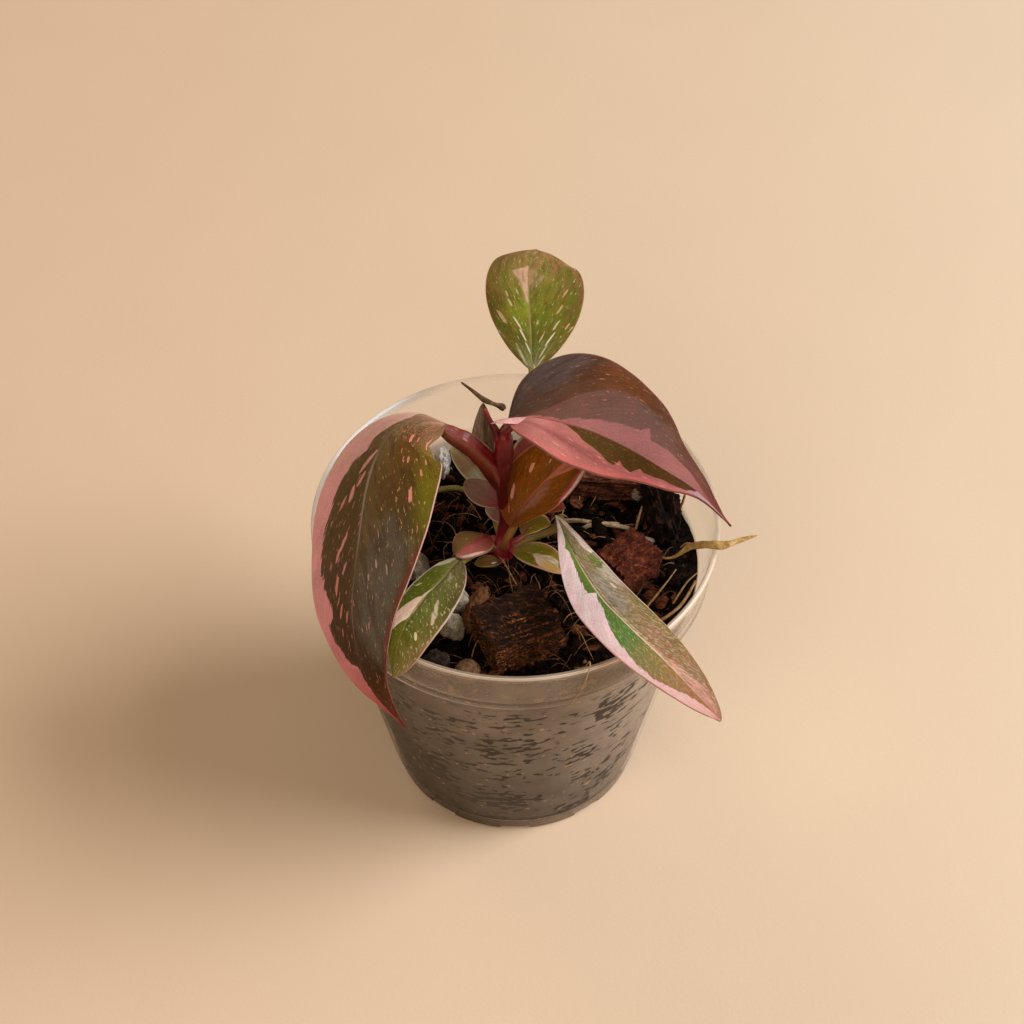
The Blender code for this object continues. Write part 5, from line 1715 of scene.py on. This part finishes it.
FRONT_RIGHT = LeafFinish(
    ground=tones((0, 136, 134, 82), (0.15, 146, 130, 96), (0.4, 150, 132, 102), (0.6, 146, 120, 88),
        (0.75, 134, 94, 60), (0.95, 150, 108, 84), (1, 130, 84, 56)),
    bands=(
        Band(L, flat(230, 208, 200), inner=((0, 0.3), (0.06, 0.5), (0.12, 0.6), (0.2, 0.62), (0.23, 1)),
            outer=((0, 0.95), (0.2, 1.0), (0.24, 0.4)), ragged=0.2, soft=0.05),
        Band(L, flat(190, 176, 158), inner=((0, 1), (0.25, 1), (0.27, 0.5), (0.36, 0.5), (0.42, 1)),
            ragged=0.5, soft=0.12),
        Band(L, tones((0, 108, 122, 50), (1, 104, 112, 46)),
            inner=((0, 1), (0.2, 1), (0.23, 0.5), (0.29, 0.45), (0.32, 1)),
            outer=((0, 0), (0.2, 0.6), (0.27, 0.9), (0.3, 0.7), (0.33, 0)), ragged=0.4, soft=0.05),
        Band(L, flat(158, 148, 134), outer=((0, 0), (0.3, 0), (0.36, 0.5), (0.5, 0.55), (0.58, 0)),
            inner=((0, 0.12),), ragged=0.4, soft=0.14),
        Band(L, tones((0, 116, 118, 60), (0.5, 118, 110, 56), (1, 120, 82, 50)),
            inner=((0, 1), (0.4, 1), (0.5, 0.75), (0.65, 0.7), (1, 0.75)), ragged=0.3, soft=0.12),
        Band(L, tones((0, 206, 166, 148), (0.8, 200, 150, 134), (1, 176, 112, 96)),
            outer=((0, 0), (0.58, 0), (0.64, 0.05), (0.72, 0.1), (0.8, 0.22), (0.88, 0.46),
                (0.93, 0.55), (1, 0.4)), ragged=0.3, soft=0.06),
        Band(R,
            tones((0, 226, 206, 200), (0.2, 228, 204, 206), (0.5, 226, 202, 206), (0.7, 214, 178, 180),
                (0.9, 206, 164, 158), (1, 192, 136, 128)), inner=((0, 0),)),
        Band(R,
            tones((0, 120, 124, 62), (0.2, 104, 120, 54), (0.42, 84, 112, 48), (0.62, 80, 112, 50),
                (0.69, 112, 104, 50), (0.85, 142, 96, 54), (1, 130, 80, 50)),
            outer=((0, 0.1), (0.08, 0.2), (0.13, 0.28), (0.17, 0.5), (0.185, 0.26), (0.28, 0.3),
                (0.36, 0.37), (0.405, 0.34), (0.41, 0.08), (0.45, 0.13), (0.5, 0.24), (0.55, 0.4),
                (0.6, 0.6), (0.65, 0.72), (0.7, 0.78), (0.75, 0.84), (0.8, 0.76), (0.85, 0.58),
                (0.9, 0.36), (1, 0.1)), ragged=0.34, soft=0.014),
        Band(L, flat(206, 190, 160),
            inner=((0, 1), (0.18, 1), (0.2, 0.06), (0.3, 0.09), (0.6, 0.05), (0.66, 0.08), (0.68, 1)),
            outer=((0, 0.1), (0.3, 0.13), (0.6, 0.09), (0.66, 0.1)), ragged=0.02, soft=0.012),
    ),
    flecks=(
        Flecks((104, 100, 54), 0.54, (0.6, 3.0), L, outer=((0, 1), (0.4, 0.95)), seed=4, cover=0.5),
        Flecks((216, 204, 180), 0.59, (0.3, 1.1), L, outer=((0, 1), (0.6, 0.95)), seed=2, cover=0.45),
        Flecks((104, 68, 38), 0.56, (0.9, 3), L, inner=((0, 1), (0.5, 0.8), (0.6, 0.3)), seed=8,
            cover=0.45),
        Flecks((210, 164, 130), 0.6, (0.3, 0.9), L, inner=((0, 1), (0.55, 1), (0.65, 0.2)), seed=12,
            cover=0.5),
        Flecks((206, 190, 146), 0.6, (0.32, 0.6), R, inner=((0, 0), (0.6, 0)),
            outer=((0, 0), (0.4, 0.0), (0.5, 0.25), (0.6, 0.6), (0.75, 0.82), (0.9, 0.4)), seed=6,
            cover=0.5),
        Flecks((200, 150, 144), 0.67, (0.6, 4.0), R, inner=((0, 0.4), (0.6, 0.85)), seed=14),
    ), spots=marks(L, (0.4, 0.58, 0.9, 0.5, 226, 196, 176)),
    rib=tones((0, 206, 200, 150), (0.6, 226, 200, 170), (1, 210, 160, 146)), rib_width=0.26,
    margin=tones((0, 230, 214, 200), (0.5, 226, 190, 184), (0.75, 170, 110, 80), (1, 180, 116, 96)),
    margin_width=0.22, below=tones((0, 214, 190, 190), (0.6, 214, 160, 164), (1, 150, 100, 90)),
    slant=2.0, vein_gap=4, gloss=0.42)

FRONT_LEFT = LeafFinish(
    ground=tones((0, 128, 112, 82), (0.14, 118, 108, 68), (0.3, 114, 112, 56), (0.6, 108, 110, 50),
        (0.8, 102, 98, 32), (1, 122, 100, 50)),
    edge=tones((0, 112, 88, 60), (0.3, 92, 76, 44), (0.5, 78, 70, 30), (0.7, 100, 88, 42),
        (0.85, 124, 94, 58), (1, 130, 98, 64)),
    bands=(
        Band(R,
            tones((0, 116, 108, 70), (0.15, 104, 104, 46), (0.25, 80, 86, 20), (0.5, 80, 86, 18),
                (0.75, 96, 100, 24), (1, 108, 98, 36)), inner=((0, 0.3), (0.2, 0.12), (1, 0.05)),
            ragged=0.3, soft=0.08),
        Band(R, flat(178, 168, 140), inner=((0, 0.6), (0.1, 0.5), (0.16, 0.75), (0.2, 1)), ragged=0.3,
            soft=0.1),
        Band(R,
            tones((0, 200, 182, 152), (0.5, 208, 180, 152), (0.66, 232, 198, 174),
                (0.8, 250, 212, 198)),
            inner=((0, 0), (0.66, 0.0), (0.69, 0.12), (0.72, 0.4), (0.76, 0.7), (0.8, 1.0),
                (0.82, 1.1)),
            outer=((0, 0), (0.34, 0), (0.38, 0.04), (0.48, 0.14), (0.51, 0.3), (0.55, 0.45),
                (0.6, 0.66), (0.66, 0.88), (0.7, 1.1), (1, 1.1)), ragged=0.1, soft=0.02),
        Band(L, flat(206, 176, 148),
            outer=((0, 0), (0.44, 0), (0.5, 0.05), (0.6, 0.07), (0.67, 0.02), (0.7, 0)), ragged=0.05,
            soft=0.02),
        Band(L, flat(176, 164, 136),
            inner=((0, 1), (0.15, 1), (0.18, 0.08), (0.26, 0.26), (0.31, 0.42), (0.32, 1)),
            outer=((0, 0), (0.17, 0), (0.19, 0.2), (0.25, 0.36), (0.3, 0.44), (0.33, 0)), ragged=0.1,
            soft=0.06),
        Band(L, flat(184, 170, 138),
            inner=((0, 1), (0.46, 1), (0.48, 0.43), (0.55, 0.47), (0.62, 0.57), (0.68, 0.68), (0.7, 1)),
            outer=((0, 0), (0.46, 0), (0.48, 0.48), (0.55, 0.6), (0.62, 0.7), (0.68, 0.76), (0.71, 0)),
            ragged=0.12, soft=0.02),
    ),
    flecks=(
        Flecks((72, 84, 20), 0.55, (1.0, 5), L, seed=8, cover=0.4),
        Flecks((196, 190, 146), 0.62, (0.45, 1.2), L, seed=2, cover=0.6),
        Flecks((196, 188, 130), 0.66, (0.5, 0.8), R, seed=5, cover=0.6),
    ),
    spots=marks(L, (0.78, 0.48, 0.9, 0.4, 206, 196, 158), (0.3, 0.66, 0.5, 0.4, 190, 150, 120))
        + marks(R, (0.4, 0.7, 1.0, 0.3, 170, 164, 110)),
    rib=tones((0, 170, 152, 110), (0.3, 170, 158, 120), (0.45, 150, 140, 100), (1, 120, 110, 60)),
    rib_width=0.22, margin=tones((0, 170, 150, 130), (0.5, 196, 176, 160), (1, 160, 120, 90)),
    below=tones((0, 150, 150, 110), (1, 140, 110, 90)), slant=1.6, vein_gap=4)

CENTRE = LeafFinish(
    ground=tones((0, 124, 60, 22), (0.2, 138, 76, 14), (0.55, 146, 84, 8), (0.9, 150, 92, 20),
        (1, 160, 104, 54)),
    bands=(
        Band(R, flat(132, 78, 18), inner=((0, 0.5), (1, 0.6)), ragged=0.4, soft=0.2),
        # Grey-mauve band by the midrib on the right half: painted sheen.
        Band(R, flat(160, 108, 86), inner=((0, 0.05),),
            outer=((0, 0), (0.12, 0.2), (0.3, 0.5), (0.5, 0.35), (0.6, 0)), ragged=0.3, soft=0.16),
        Band(R, flat(204, 124, 100),
            outer=((0, 0), (0.5, 0.02), (0.6, 0.16), (0.7, 0.38), (0.78, 0.6), (1, 0.9)), ragged=0.08,
            soft=0.03),
        Band(R, flat(200, 84, 84), inner=((0, 1.1), (0.42, 1.1), (0.55, 0.84), (0.75, 0.76), (1, 0.8)),
            ragged=0.1, soft=0.06),
        Band(R, flat(232, 214, 214),
            inner=((0, 1.1), (0.42, 1.05), (0.55, 0.93), (0.75, 0.87), (1, 0.88)), ragged=0.05,
            soft=0.03),
        Band(L, flat(200, 116, 104), inner=((0, 1.1), (0.35, 1.05), (0.5, 0.95), (1, 0.92)),
            ragged=0.05, soft=0.03),
    ),
    flecks=(
        Flecks((104, 54, 6), 0.55, (0.9, 3.4), seed=4, cover=0.35),
        Flecks((206, 156, 76), 0.66, (0.35, 0.9), seed=2, cover=0.6),
    ),
    spots=marks(L, (0.25, 0.52, 1.3, 0.5, 226, 154, 132), (0.5, 0.5, 1.2, 0.45, 232, 156, 126),
        (0.12, 0.45, 0.6, 0.4, 214, 110, 60), (0.66, 0.3, 0.5, 0.25, 200, 190, 130)),
    rib=tones((0, 196, 84, 56), (1, 206, 126, 96)), rib_width=0.3,
    margin=tones((0, 170, 96, 70), (1, 210, 140, 120)), margin_width=0.2,
    below=tones((0, 160, 90, 70), (1, 150, 90, 70)), slant=1.5, vein_gap=4.3)

PINK = LeafFinish(
    ground=tones((0, 186, 100, 94), (1, 198, 126, 114)), margin=flat(236, 222, 208), margin_width=0.6,
    flecks=(Flecks((160, 76, 70), 0.55, (0.8, 4.0), seed=3, cover=0.4),), below=flat(190, 120, 118),
    vein_gap=2.9)
SMALL_LEFT = LeafFinish(
    ground=tones((0, 136, 56, 50), (0.3, 116, 84, 42), (1, 126, 98, 58)),
    bands=(
        Band(L, tones((0, 136, 40, 42), (0.4, 138, 70, 60), (0.8, 162, 100, 88), (1, 186, 120, 106)),
            inner=((0, 0),)),
        Band(L, flat(226, 190, 176),
            inner=((0, 1.1), (0.5, 1.1), (0.58, 0.92), (0.75, 0.72), (0.9, 0.58), (1, 0.5)), ragged=0.1,
            soft=0.04),
        Band(L, tones((0, 150, 44, 52), (1, 186, 104, 100)), outer=((0, 0.3), (1, 0.4)), ragged=0.2,
            soft=0.12),
        Band(R, tones((0, 140, 40, 44), (0.5, 136, 72, 56), (1, 160, 92, 78)),
            outer=((0, 0.4), (0.5, 0.14), (1, 0.1)), ragged=0.2, soft=0.1),
    ), flecks=(Flecks((186, 140, 84), 0.66, (0.6, 1.2), R, seed=3),), margin=flat(190, 126, 96),
    margin_width=0.24, below=flat(200, 150, 146), vein_gap=3.2)
SMALL_RIGHT = LeafFinish(
    ground=tones((0, 170, 110, 80), (0.12, 136, 126, 50), (0.4, 128, 122, 22), (0.8, 132, 112, 36),
        (1, 180, 150, 100)),
    bands=(
        Band(L, flat(160, 116, 76), inner=((0, 0.8),), ragged=0.3, soft=0.1),
        Band(L, flat(222, 204, 178),
            outer=((0, 0), (0.36, 0), (0.42, 0.12), (0.55, 0.2), (0.68, 0.42), (0.8, 0.5), (0.86, 0.1),
                (0.9, 0)), ragged=0.3, soft=0.06),
        Band(R,
            tones((0, 236, 216, 200), (0.55, 236, 214, 196), (0.68, 214, 176, 120),
                (0.85, 196, 150, 80), (1, 206, 170, 130)), inner=((0, 0), (0.5, 0.0), (0.85, 0.1)),
            outer=((0, 0), (0.34, 0), (0.4, 0.14), (0.48, 0.36), (0.55, 0.62), (0.64, 0.86), (0.9, 0.9),
                (1, 0.9)), ragged=0.3, soft=0.05),
        Band(R, flat(214, 166, 140), inner=((0, 1), (0.3, 0.92), (1, 0.86)), soft=0.05),
    ),
    flecks=(
        Flecks((206, 196, 120), 0.66, (0.5, 1.0), seed=2),
        Flecks((96, 96, 16), 0.56, (0.7, 2.4), L, seed=4, cover=0.4),
    ), margin=flat(216, 180, 150), margin_width=0.22, below=flat(196, 150, 140), vein_gap=3.2)
FOLDED = LeafFinish(
    ground=tones((0, 150, 110, 70), (0.25, 132, 112, 26), (1, 142, 124, 34)),
    bands=(
        Band(L, flat(206, 176, 140), inner=((0, 1.1), (0.6, 1.1), (0.7, 0.75), (1, 0.6)), ragged=0.2,
            soft=0.06),
        Band(L, tones((0, 180, 110, 100), (0.4, 140, 110, 60)), outer=((0, 1), (0.3, 0.5), (0.45, 0)),
            ragged=0.2, soft=0.1),
    ), margin=flat(206, 190, 130), margin_width=0.24,
    flecks=(Flecks((186, 176, 90), 0.66, (0.5, 1.1), seed=2),), below=flat(140, 126, 60), vein_gap=2.9)
RED_TIP = LeafFinish(
    ground=tones((0, 130, 70, 46), (0.6, 150, 84, 58), (1, 146, 76, 58)), margin=flat(186, 120, 96),
    flecks=(Flecks((100, 48, 30), 0.56, (0.8, 3.0), seed=4, cover=0.4),), margin_width=0.2,
    below=flat(140, 80, 66), vein_gap=2.9)
LOW_OLIVE = LeafFinish(
    ground=tones((0, 130, 84, 56), (1, 104, 82, 34)), margin=flat(160, 130, 84), margin_width=0.2,
    spots=marks(L, (0.35, 0.5, 0.5, 0.35, 226, 210, 190)), below=flat(110, 90, 60), vein_gap=2.5)
MAUVE = LeafFinish(
    ground=tones((0, 150, 40, 54), (0.3, 154, 98, 94), (0.6, 158, 122, 108), (1, 152, 122, 108)),
    flecks=(Flecks((128, 100, 84), 0.55, (0.9, 3.0), seed=4, cover=0.4),), margin=flat(206, 180, 156),
    margin_width=0.24, below=flat(170, 130, 118), vein_gap=2.5, gloss=0.55)
PALE_BACK = LeafFinish(
    ground=tones((0, 166, 134, 108), (0.3, 190, 186, 150), (0.5, 152, 118, 90), (0.8, 156, 122, 92),
        (1, 170, 160, 100)),
    bands=(Band(R, flat(202, 196, 160), inner=((0, 1), (0.4, 0.7), (1, 0.7)), ragged=0.2, soft=0.06),),
    flecks=(Flecks((140, 150, 70), 0.58, (1.0, 2.2), seed=2, cover=0.5),), margin=flat(216, 204, 170),
    below=flat(176, 150, 116), vein_gap=2.9, gloss=0.55)
UNDER_LEFT = LeafFinish(
    ground=tones((0, 126, 116, 50), (1, 110, 92, 42)), edge=flat(130, 96, 56),
    flecks=(Flecks((206, 176, 110), 0.67, (0.8, 1.8), seed=2),), margin=flat(225, 200, 195),
    below=flat(150, 110, 96), vein_gap=4)

TAIL_SKIN = Grain("leaf_tail_pale", ((186, 120, 120), (214, 160, 156), (232, 196, 190)), 1.5,
                  relief=0.05, roughness=0.5)
LEAF_TAIL = ((-5.4, 6.4, 101.8, 0.12), (-4.0, 6.5, 102.3, 0.4), (-2.3, 7.0, 102.0, 0.75),
             (0.2, 8.2, 100.9, 1.0), (3, 9.2, 100.3, 0.8))

LEAVES = (
    Leaf("leaf_left_large",
         [(-15, 8, 100), (-21, 8, 102), (-27, 4, 101), (-31, -5, 97.5), (-33, -18, 91.5),
          (-34, -32.5, 84), (-31, -41, 74), (-23.5, -45, 62.5)],
         Half(15.2, 0.6, 1.3, (-8, -2, 6), -8, 1.5), Half(17.6, 0.55, 1.3, (-36, -18, -18), -24, 2),
         [(-3.4, 6, 82, 1.9), (-5, 6.6, 87.4, 2.9), (-8.2, 7, 92.3, 2.9), (-11.6, 7.3, 95.9, 2.85),
          (-14, 7.7, 97.4, 2.5)],
         2.4, LEFT_LARGE, RED_STALK, groove=0.3, rib_tip=0.3, section=(0.7, 1.05), rib_thick=1.0),
    Leaf("leaf_right_large",
         [(-1.5, 9.5, 99.5), (4.5, 9.5, 100.5), (14.5, 8.5, 98), (23.5, 6.5, 94.5), (32, 3.5, 90.5),
          (39.5, 1, 86), (47, -4.5, 81)],
         Half(19.7, 0.75, 1.65, (17, 20, 4), -18), Half(14.4, 0.85, 1.9, (18, 9, 28), 2, 3),
         [(-2.4, 8.2, 97.4), (-1.2, 8.8, 98.6)], 1.3, RIGHT_LARGE, RED_STALK),
    Leaf("leaf_back",
         [(4, 34, 90.5), (3.4, 40, 98), (3, 46, 104.2), (3.3, 51.8, 107), (5, 56.8, 106.4)],
         Half(9.9, 0.8, 0.44, (10, 6, -8), -32), Half(12.5, 0.8, 0.56, (10, 11, 15), -12),
         [(-1.8, 6, 65), (1.8, 12.5, 70), (3.3, 22.5, 80), (4, 30, 87.3)], 1.0, BACK, GREEN_STALK,
         cell=0.5),
    Leaf("leaf_front_right",
         [(9, 2.5, 76.5), (13, -11.5, 78.5), (18, -25, 81.5), (23.5, -34.5, 83.5), (32, -41.5, 79),
          (42.5, -50, 71.5)],
         Half(7.4, 0.87, 0.66, (17, 10, 14), -34), Half(7.4, 1.25, 0.9, (30, 11, 14), -20),
         [(-0.7, 3.2, 65.4), (4, 5, 66.4), (8.6, 5, 69), (10, 4.4, 73.6)], 0.9, FRONT_RIGHT,
         GREEN_STALK, cell=0.5),
    Leaf("leaf_front_left",
         [(-12, -6, 71.7), (-16, -16, 76.4), (-20.8, -26.5, 80.5), (-24, -35.5, 81.6),
          (-25.5, -43.4, 77.8)],
         Half(7.6, 0.85, 0.6, (23, 14, 7), -32), Half(4.3, 0.6, 0.8, (22, 4, -18), -10),
         [(-4, 1.6, 67), (-6.8, -0.2, 68.1), (-10, -3.5, 70)], 0.9, FRONT_LEFT, GREEN_STALK,
         cell=0.5),
    Leaf("leaf_centre", [(-1, 0.5, 75), (3, 4.5, 80), (10, 8, 87), (15.5, 12, 90.5)],
         Half(8.7, 0.62, 0.7, (16, 17, 14), -27), Half(7, 0.8, 0.7, (26, 20, 15), -28),
         [(-2.9, 0.4, 67.6), (-2.4, -0.6, 71)], 0.8, CENTRE, ORANGE_STALK, cell=0.4),
    Leaf("leaf_upright_pink",
         [(0.8, 13.9, 73.5), (0.8, 15, 79.3), (1.9, 15.5, 85), (3.4, 15.1, 90.5)],
         Half(2.5, 0.7, 0.8, (10, 10, 10), -20), Half(3.3, 0.7, 0.8, (10, 10, 10), -20),
         [(-2, 6.8, 72), (-0.4, 10.4, 72.4)], 0.7, PINK, MAUVE_STALK, cell=0.4),
    Leaf("leaf_small_left", [(-5.9, 3.1, 69), (-8.1, -0.3, 71.5), (-10.8, -4, 73.4), (-13, -6.4, 73)],
         Half(3.9, 0.7, 0.6, (5, 0, -5), -10), Half(4.2, 0.7, 0.6, (20, 25, 20), -40),
         [(-3, 2.4, 66, 1.5), (-4.6, 3.0, 67.5, 1.3)], 0.8, SMALL_LEFT, MAUVE_STALK, cell=0.35),
    Leaf("leaf_small_right", [(-0.3, -0.3, 68), (2.8, -2.6, 69.8), (6.8, -5.7, 71), (10.9, -9.2, 70.5)],
         Half(3.8, 0.7, 0.8, (20, 15, 10), -20), Half(3.2, 0.7, 0.8, (20, 15, 10), -30),
         [(-1.4, 2.2, 66.2), (-0.8, 0.9, 67)], 0.8, SMALL_RIGHT, MAUVE_STALK, cell=0.35),
    Leaf("leaf_folded_green", [(1.7, 3.4, 69), (3, 4.2, 70.8), (5.3, 4.6, 72), (7.7, 4.2, 71.9)],
         Half(2.4, 0.7, 0.7, (35, 35, 30), -10), Half(2.6, 0.7, 0.7, (30, 25, 20), -20),
         [(-2, 3, 66.8), (0.2, 2.9, 67.8)], 0.7, FOLDED, MAUVE_STALK, cell=0.35),
    Leaf("leaf_red_tip", [(4.2, 8.4, 72), (6.6, 8, 73), (9.1, 7.7, 73.7), (11.1, 7.7, 73.4)],
         Half(2.4, 0.6, 0.5, (15, 10, 10), -20), Half(1.7, 0.6, 0.5, (15, 10, 10), -20),
         [(-1.2, 5.2, 69.6), (1.6, 7.6, 70.8)], 0.6, RED_TIP, MAUVE_STALK, cell=0.35),
    Leaf("leaf_low_olive", [(-3.4, -1.8, 66), (-5.2, -2.7, 67.2), (-7, -3.3, 67.6), (-9, -3.8, 67.2)],
         Half(1.9, 0.7, 0.7, (15, 10, 10), -20), Half(1.9, 0.7, 0.7, (15, 10, 10), -20),
         [(-2.8, 0.4, 64.8), (-3, -0.8, 65.2)], 0.6, LOW_OLIVE, MAUVE_STALK, cell=0.35),
    Leaf("leaf_mauve_upper", [(-3.6, 7.6, 74.6), (-5.9, 9, 75.8), (-8.5, 10.4, 76.8), (-11.2, 12.2, 77.3)],
         Half(3.4, 0.6, 0.6, (5, 0, 0), -20), Half(3.4, 0.6, 0.6, (10, 10, 5), -20),
         [(-2.9, 5.2, 73.4), (-3.1, 6.4, 74)], 0.7, MAUVE, MAUVE_STALK, "leaf_mauve", cell=0.35),
    Leaf("leaf_mauve_lower", [(-2.9, 7.4, 69), (-3.9, 8.5, 70), (-5, 9.6, 70.7), (-6.3, 11, 70.6)],
         Half(2.1, 0.6, 0.6, (10, 10, 5), -20), Half(2, 0.6, 0.6, (10, 10, 5), -20),
         [(-2.6, 4.6, 67.4), (-2.7, 6, 68.2)], 0.6, MAUVE, MAUVE_STALK, "leaf_mauve", cell=0.35),
    Leaf("leaf_pale_back", [(-6, 17.4, 69), (-8.4, 20.2, 71), (-11.6, 23.6, 72.5), (-14.7, 26.6, 73)],
         Half(3.4, 0.6, 0.7, (10, 10, 5), -20), Half(3.4, 0.6, 0.7, (10, 10, 5), -20),
         [(-3.4, 7.5, 65.4), (-4.6, 12.5, 66.6)], 0.7, PALE_BACK, GREEN_STALK, cell=0.35),
    Leaf("leaf_under_left", [(-20, 15, 70), (-24, 11, 71.5), (-27.5, 5, 72), (-29, -1.5, 70.5)],
         Half(4.5, 0.7, 0.8, (15, 12, 10), -25), Half(4.5, 0.7, 0.8, (15, 12, 10), -25),
         [(-4.4, 8, 67.5), (-5.6, 12, 68.6), (-8.4, 15, 69.4), (-13, 16.9, 69.8), (-17.4, 16.4, 69.8)],
         0.6, UNDER_LEFT, GREEN_STALK),
)


def build_leaf_tail() -> None:
    """Make the short pale tail at the base of the large right leaf."""
    bm = new_mesh()
    sweep(bm, LEAF_TAIL, around=16, cell=0.3, section=(1.0, 0.35))
    merge(bm)
    shown("leaf_right_large_tail", bm, [TAIL_SKIN.make()], ())


def main() -> None:
    """Build the plant over the frame."""
    logging.basicConfig(level=logging.INFO, format="%(message)s")
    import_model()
    Studio().build()
    mix = PottingMix()
    mix.build()
    NurseryPot().build()
    stem = Stem()
    stem.build()
    for leaf in LEAVES:
        leaf.build(stem.inside(leaf.petiole[0][2] - 1))
    build_leaf_tail()
    Sheath().build()
    for lump in LUMPS:
        lump.build(mix)
    for strand in STRANDS:
        strand.build()


if __name__ == "__main__":
    main()
